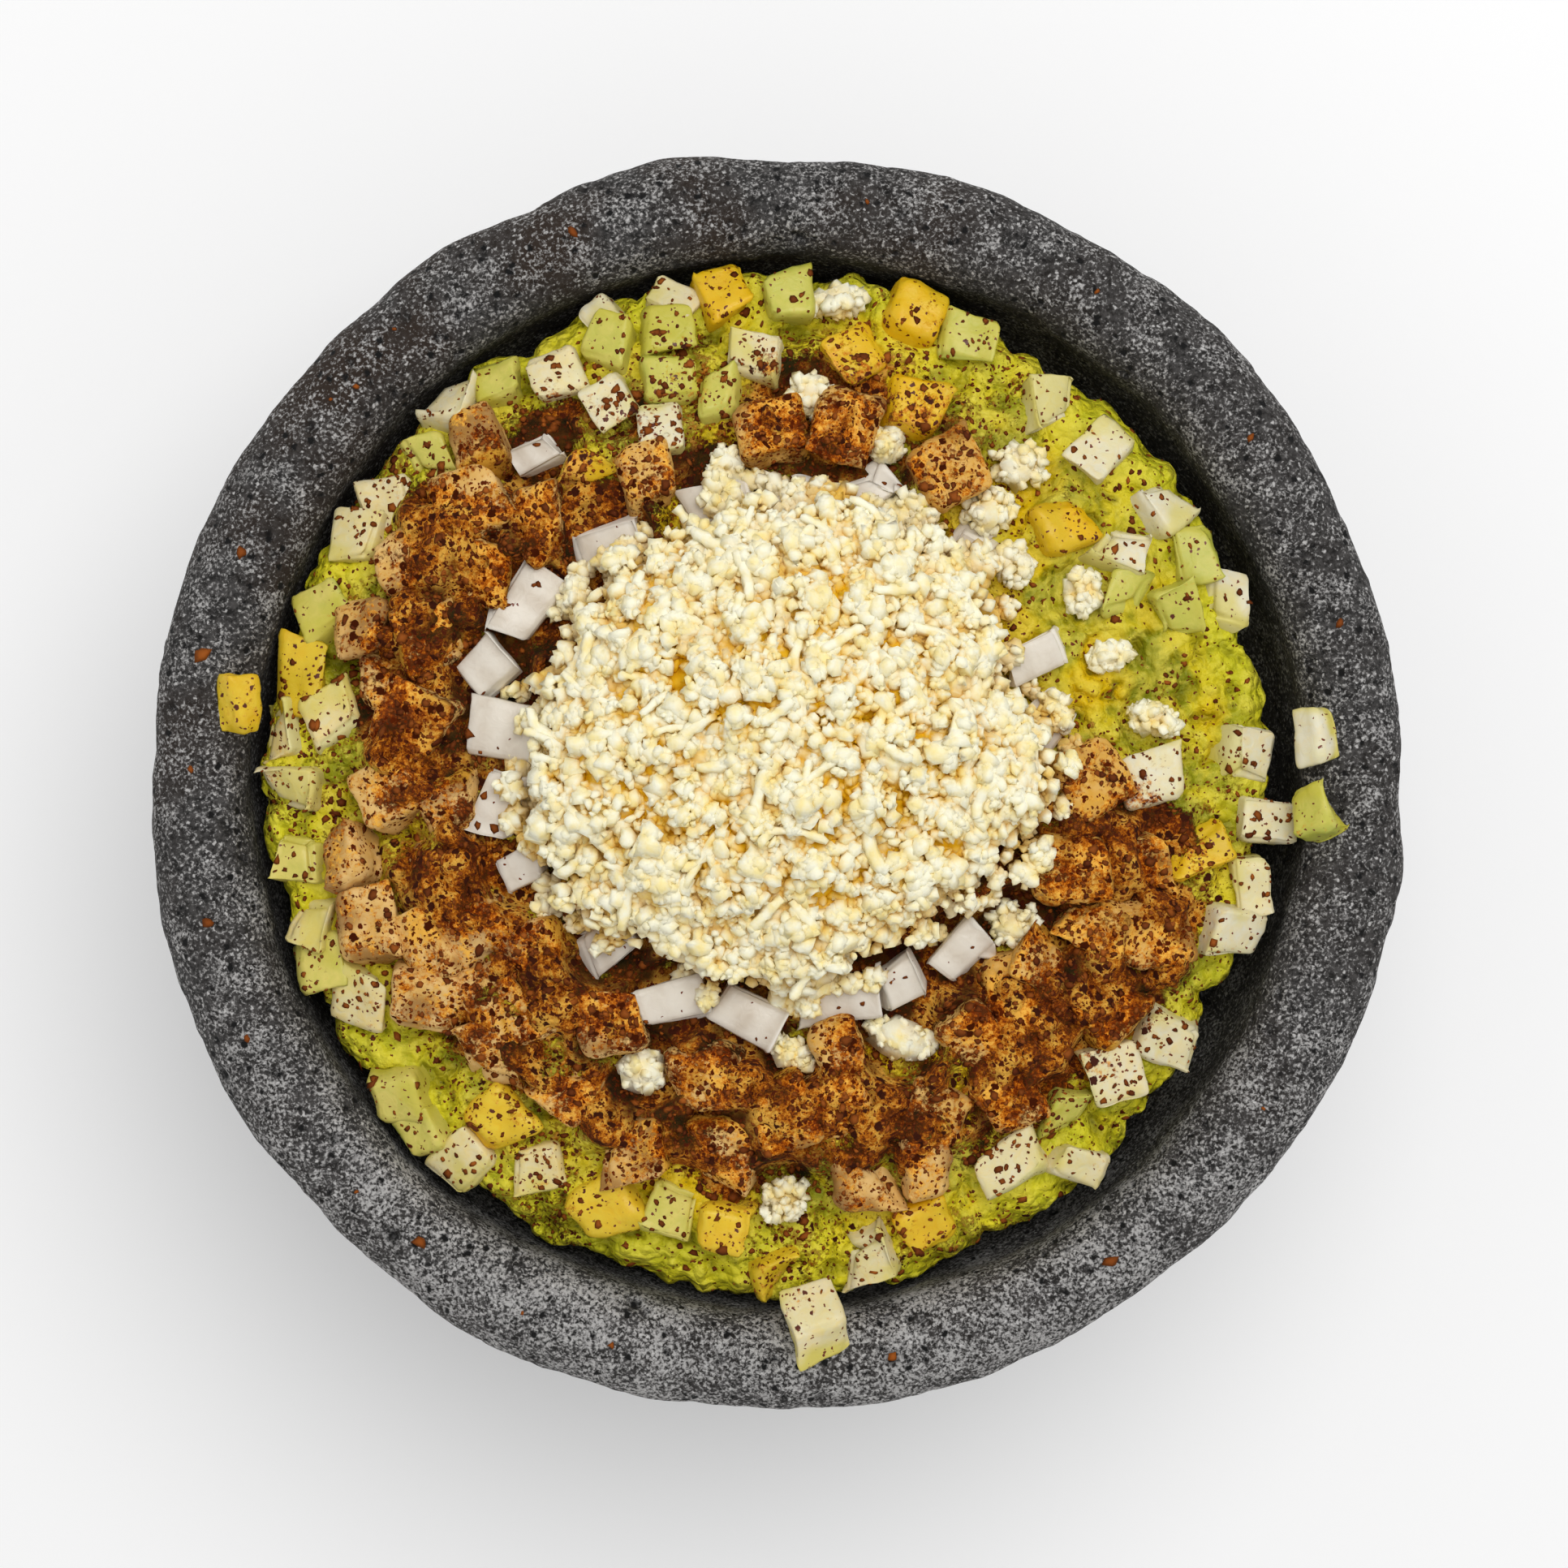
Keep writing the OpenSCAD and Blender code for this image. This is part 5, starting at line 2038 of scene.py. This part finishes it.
@dataclass
class Studio:
    """White table, soft light from the upper right and a camera straight above."""

    view_px: float = 1932.0
    focal_px: float = 4684.0
    sensor_mm: float = 36.0
    height_m: float = 0.70
    aim: tuple[float, float] = (0.00095, -0.0002)
    sky: float = 0.64
    lamp_w: float = 7.0
    glow: float = 0.042
    lamp_at: tuple[float, float, float] = (0.2, 0.38, 1.2)
    lamp_d: float = 0.85
    white: str = "#ffffff"
    table: str = "#f9f9f9"
    table_mm: float = 12000.0
    near_m: float = 0.3
    far_m: float = 1.2
    far_glow: float = 0.45

    def seen(self, add: Adder) -> Socket:
        """Picks the rays that show the background: from the camera, off gloss, through glass.

        Args:
            add: Adds a node to the tree.

        Returns:
            1 on those rays, and 0 on the others.
        """
        path = add("LightPath").node.outputs
        seen = path["Is Camera Ray"]
        for kind in ("Is Glossy Ray", "Is Transmission Ray"):
            seen = add("Math", {0: seen, 1: path[kind]}, operation="MAXIMUM")
        return seen

    def floor(self) -> None:
        """White table top: it takes the shadow near the bowl, and turns plain white further out."""
        material, add, at, _ = new_material("white table")
        away = add("VectorMath", {0: at}, out="Value", operation="LENGTH")
        span = {"Value": away, "From Min": self.near_m, "From Max": self.far_m}
        span |= {"To Min": self.glow, "To Max": self.far_glow}
        base = add("MapRange", span, interpolation_type="SMOOTHSTEP")
        level = add("Math", {0: self.seen(add), 1: base}, operation="MULTIPLY")
        matt = add("BsdfDiffuse", {"Color": linear(self.table)})
        shine = add("Emission", {"Color": linear(self.white), "Strength": level})
        add("OutputMaterial", {"Surface": add("AddShader", {0: matt, 1: shine})})
        n = 9
        line = np.linspace(-self.table_mm, self.table_mm, n)
        points = flat(*np.meshgrid(line, line, indexing="ij")).reshape(-1, 3)
        start = (n * np.arange(n - 1)[:, None] + np.arange(n - 1)).ravel()
        quads = np.stack([start, start + n, start + n + 1, start + 1], -1)
        obj = make_object("table", points, [quads])
        obj.data.materials.append(material)

    def light(self) -> None:
        """Even sky, white to the camera, and one wide soft lamp high on the upper right."""
        world = bpy.data.worlds.new("studio")
        bpy.context.scene.world = world
        world.use_nodes = True
        world.node_tree.nodes.clear()
        add = partial(add_node, world.node_tree)
        level = add("MapRange", {"Value": self.seen(add), "To Min": self.sky, "To Max": 1.0})
        back = add("Background", {"Color": linear(self.white), "Strength": level})
        add("OutputWorld", {"Surface": back})
        lamp = bpy.data.lights.new("softbox", "AREA")
        lamp.shape = "DISK"
        lamp.size = self.lamp_d
        lamp.energy = self.lamp_w
        obj = bpy.data.objects.new("softbox", lamp)
        bpy.context.collection.objects.link(obj)
        obj.location = self.lamp_at
        obj.rotation_euler = (-Vector(self.lamp_at)).to_track_quat("-Z", "Y").to_euler()

    def camera(self) -> None:
        """Camera straight above the bowl, its top edge towards the back."""
        data = bpy.data.cameras.new("above")
        data.sensor_width = self.sensor_mm
        data.lens = self.focal_px / self.view_px * self.sensor_mm
        obj = bpy.data.objects.new("above", data)
        bpy.context.collection.objects.link(obj)
        obj.location = (*self.aim, self.height_m)
        bpy.context.scene.camera = obj

    def set_up(self) -> None:
        """Makes the camera, the table and the light."""
        self.camera()
        self.floor()
        self.light()
        bpy.context.scene.view_settings.view_transform = "Standard"


# ------------------------------------------------------------------ the whole


def produce() -> list[DicedProduce]:
    """Lists the four kinds of dice with their finish and their cut.

    Returns:
        The dice to build.
    """
    jicama = CutProduce("cut jicama", "#dcd6bc", "#e4cc82", "#d8cf92", "#cdbf4a")
    cucumber = CutProduce(
        "cut cucumber", "#c0bc50", "#d8c868", "#b0b248", "#bcb232", roughness=0.32
    )
    mango = CutProduce("cut mango", "#e2b30e", "#e2c234", "#d4a008", "#ccae1e", roughness=0.34)
    dusty = CutProduce(
        "chilli-dusted fruit", "#d8a448", "#e2bc7c", "#cc9634", "#6a3408",
        roughness=0.6, soft=0.04, gloss=0.06,
    )  # fmt: skip
    return [
        DicedProduce(
            Produce.JICAMA, "jicama_cubes", jicama,
            edge_mm=0.9, grit_mm=0.36, swell_mm=0.2, powder=0.7, least=0.2, seed=101,
        ),
        DicedProduce(
            Produce.CUCUMBER, "cucumber_cubes", cucumber,
            edge_mm=1.1, grit_mm=0.36, swell_mm=0.2, powder=0.65, least=0.22, seed=202,
        ),
        DicedProduce(
            Produce.MANGO, "mango_cubes", mango,
            edge_mm=1.6, grit_mm=0.5, swell_mm=0.25, powder=0.9, least=0.3, seed=303,
        ),
        DicedProduce(
            Produce.DUSTED, "dusted_cubes", dusty,
            edge_mm=1.3, grit_mm=0.5, swell_mm=0.8, powder=1.0, least=0.52, seed=404,
            skew=0.16, cut=10,
        ),
    ]  # fmt: skip


def main() -> None:
    """Builds the molcajete piece by piece."""
    logging.basicConfig(level=logging.INFO, format="%(name)s: %(message)s")
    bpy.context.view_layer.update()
    Studio().set_up()
    mortar = StoneMortar().dress()
    food = [GuacamoleBed().dress()]
    food += [kind.dress() for kind in produce()]
    food.append(OnionPieces().dress())
    pieces = [mortar] + food
    pieces += ChilliFlakes().dress(food, mortar)
    pieces.append(LooseCheese().dress())
    pieces += CheeseHeap().dress(food)
    for piece in pieces:
        mesh = piece.data
        LOG.info("%s: %d corners, %d faces", piece.name, len(mesh.vertices), len(mesh.polygons))


if __name__ == "__main__":
    main()
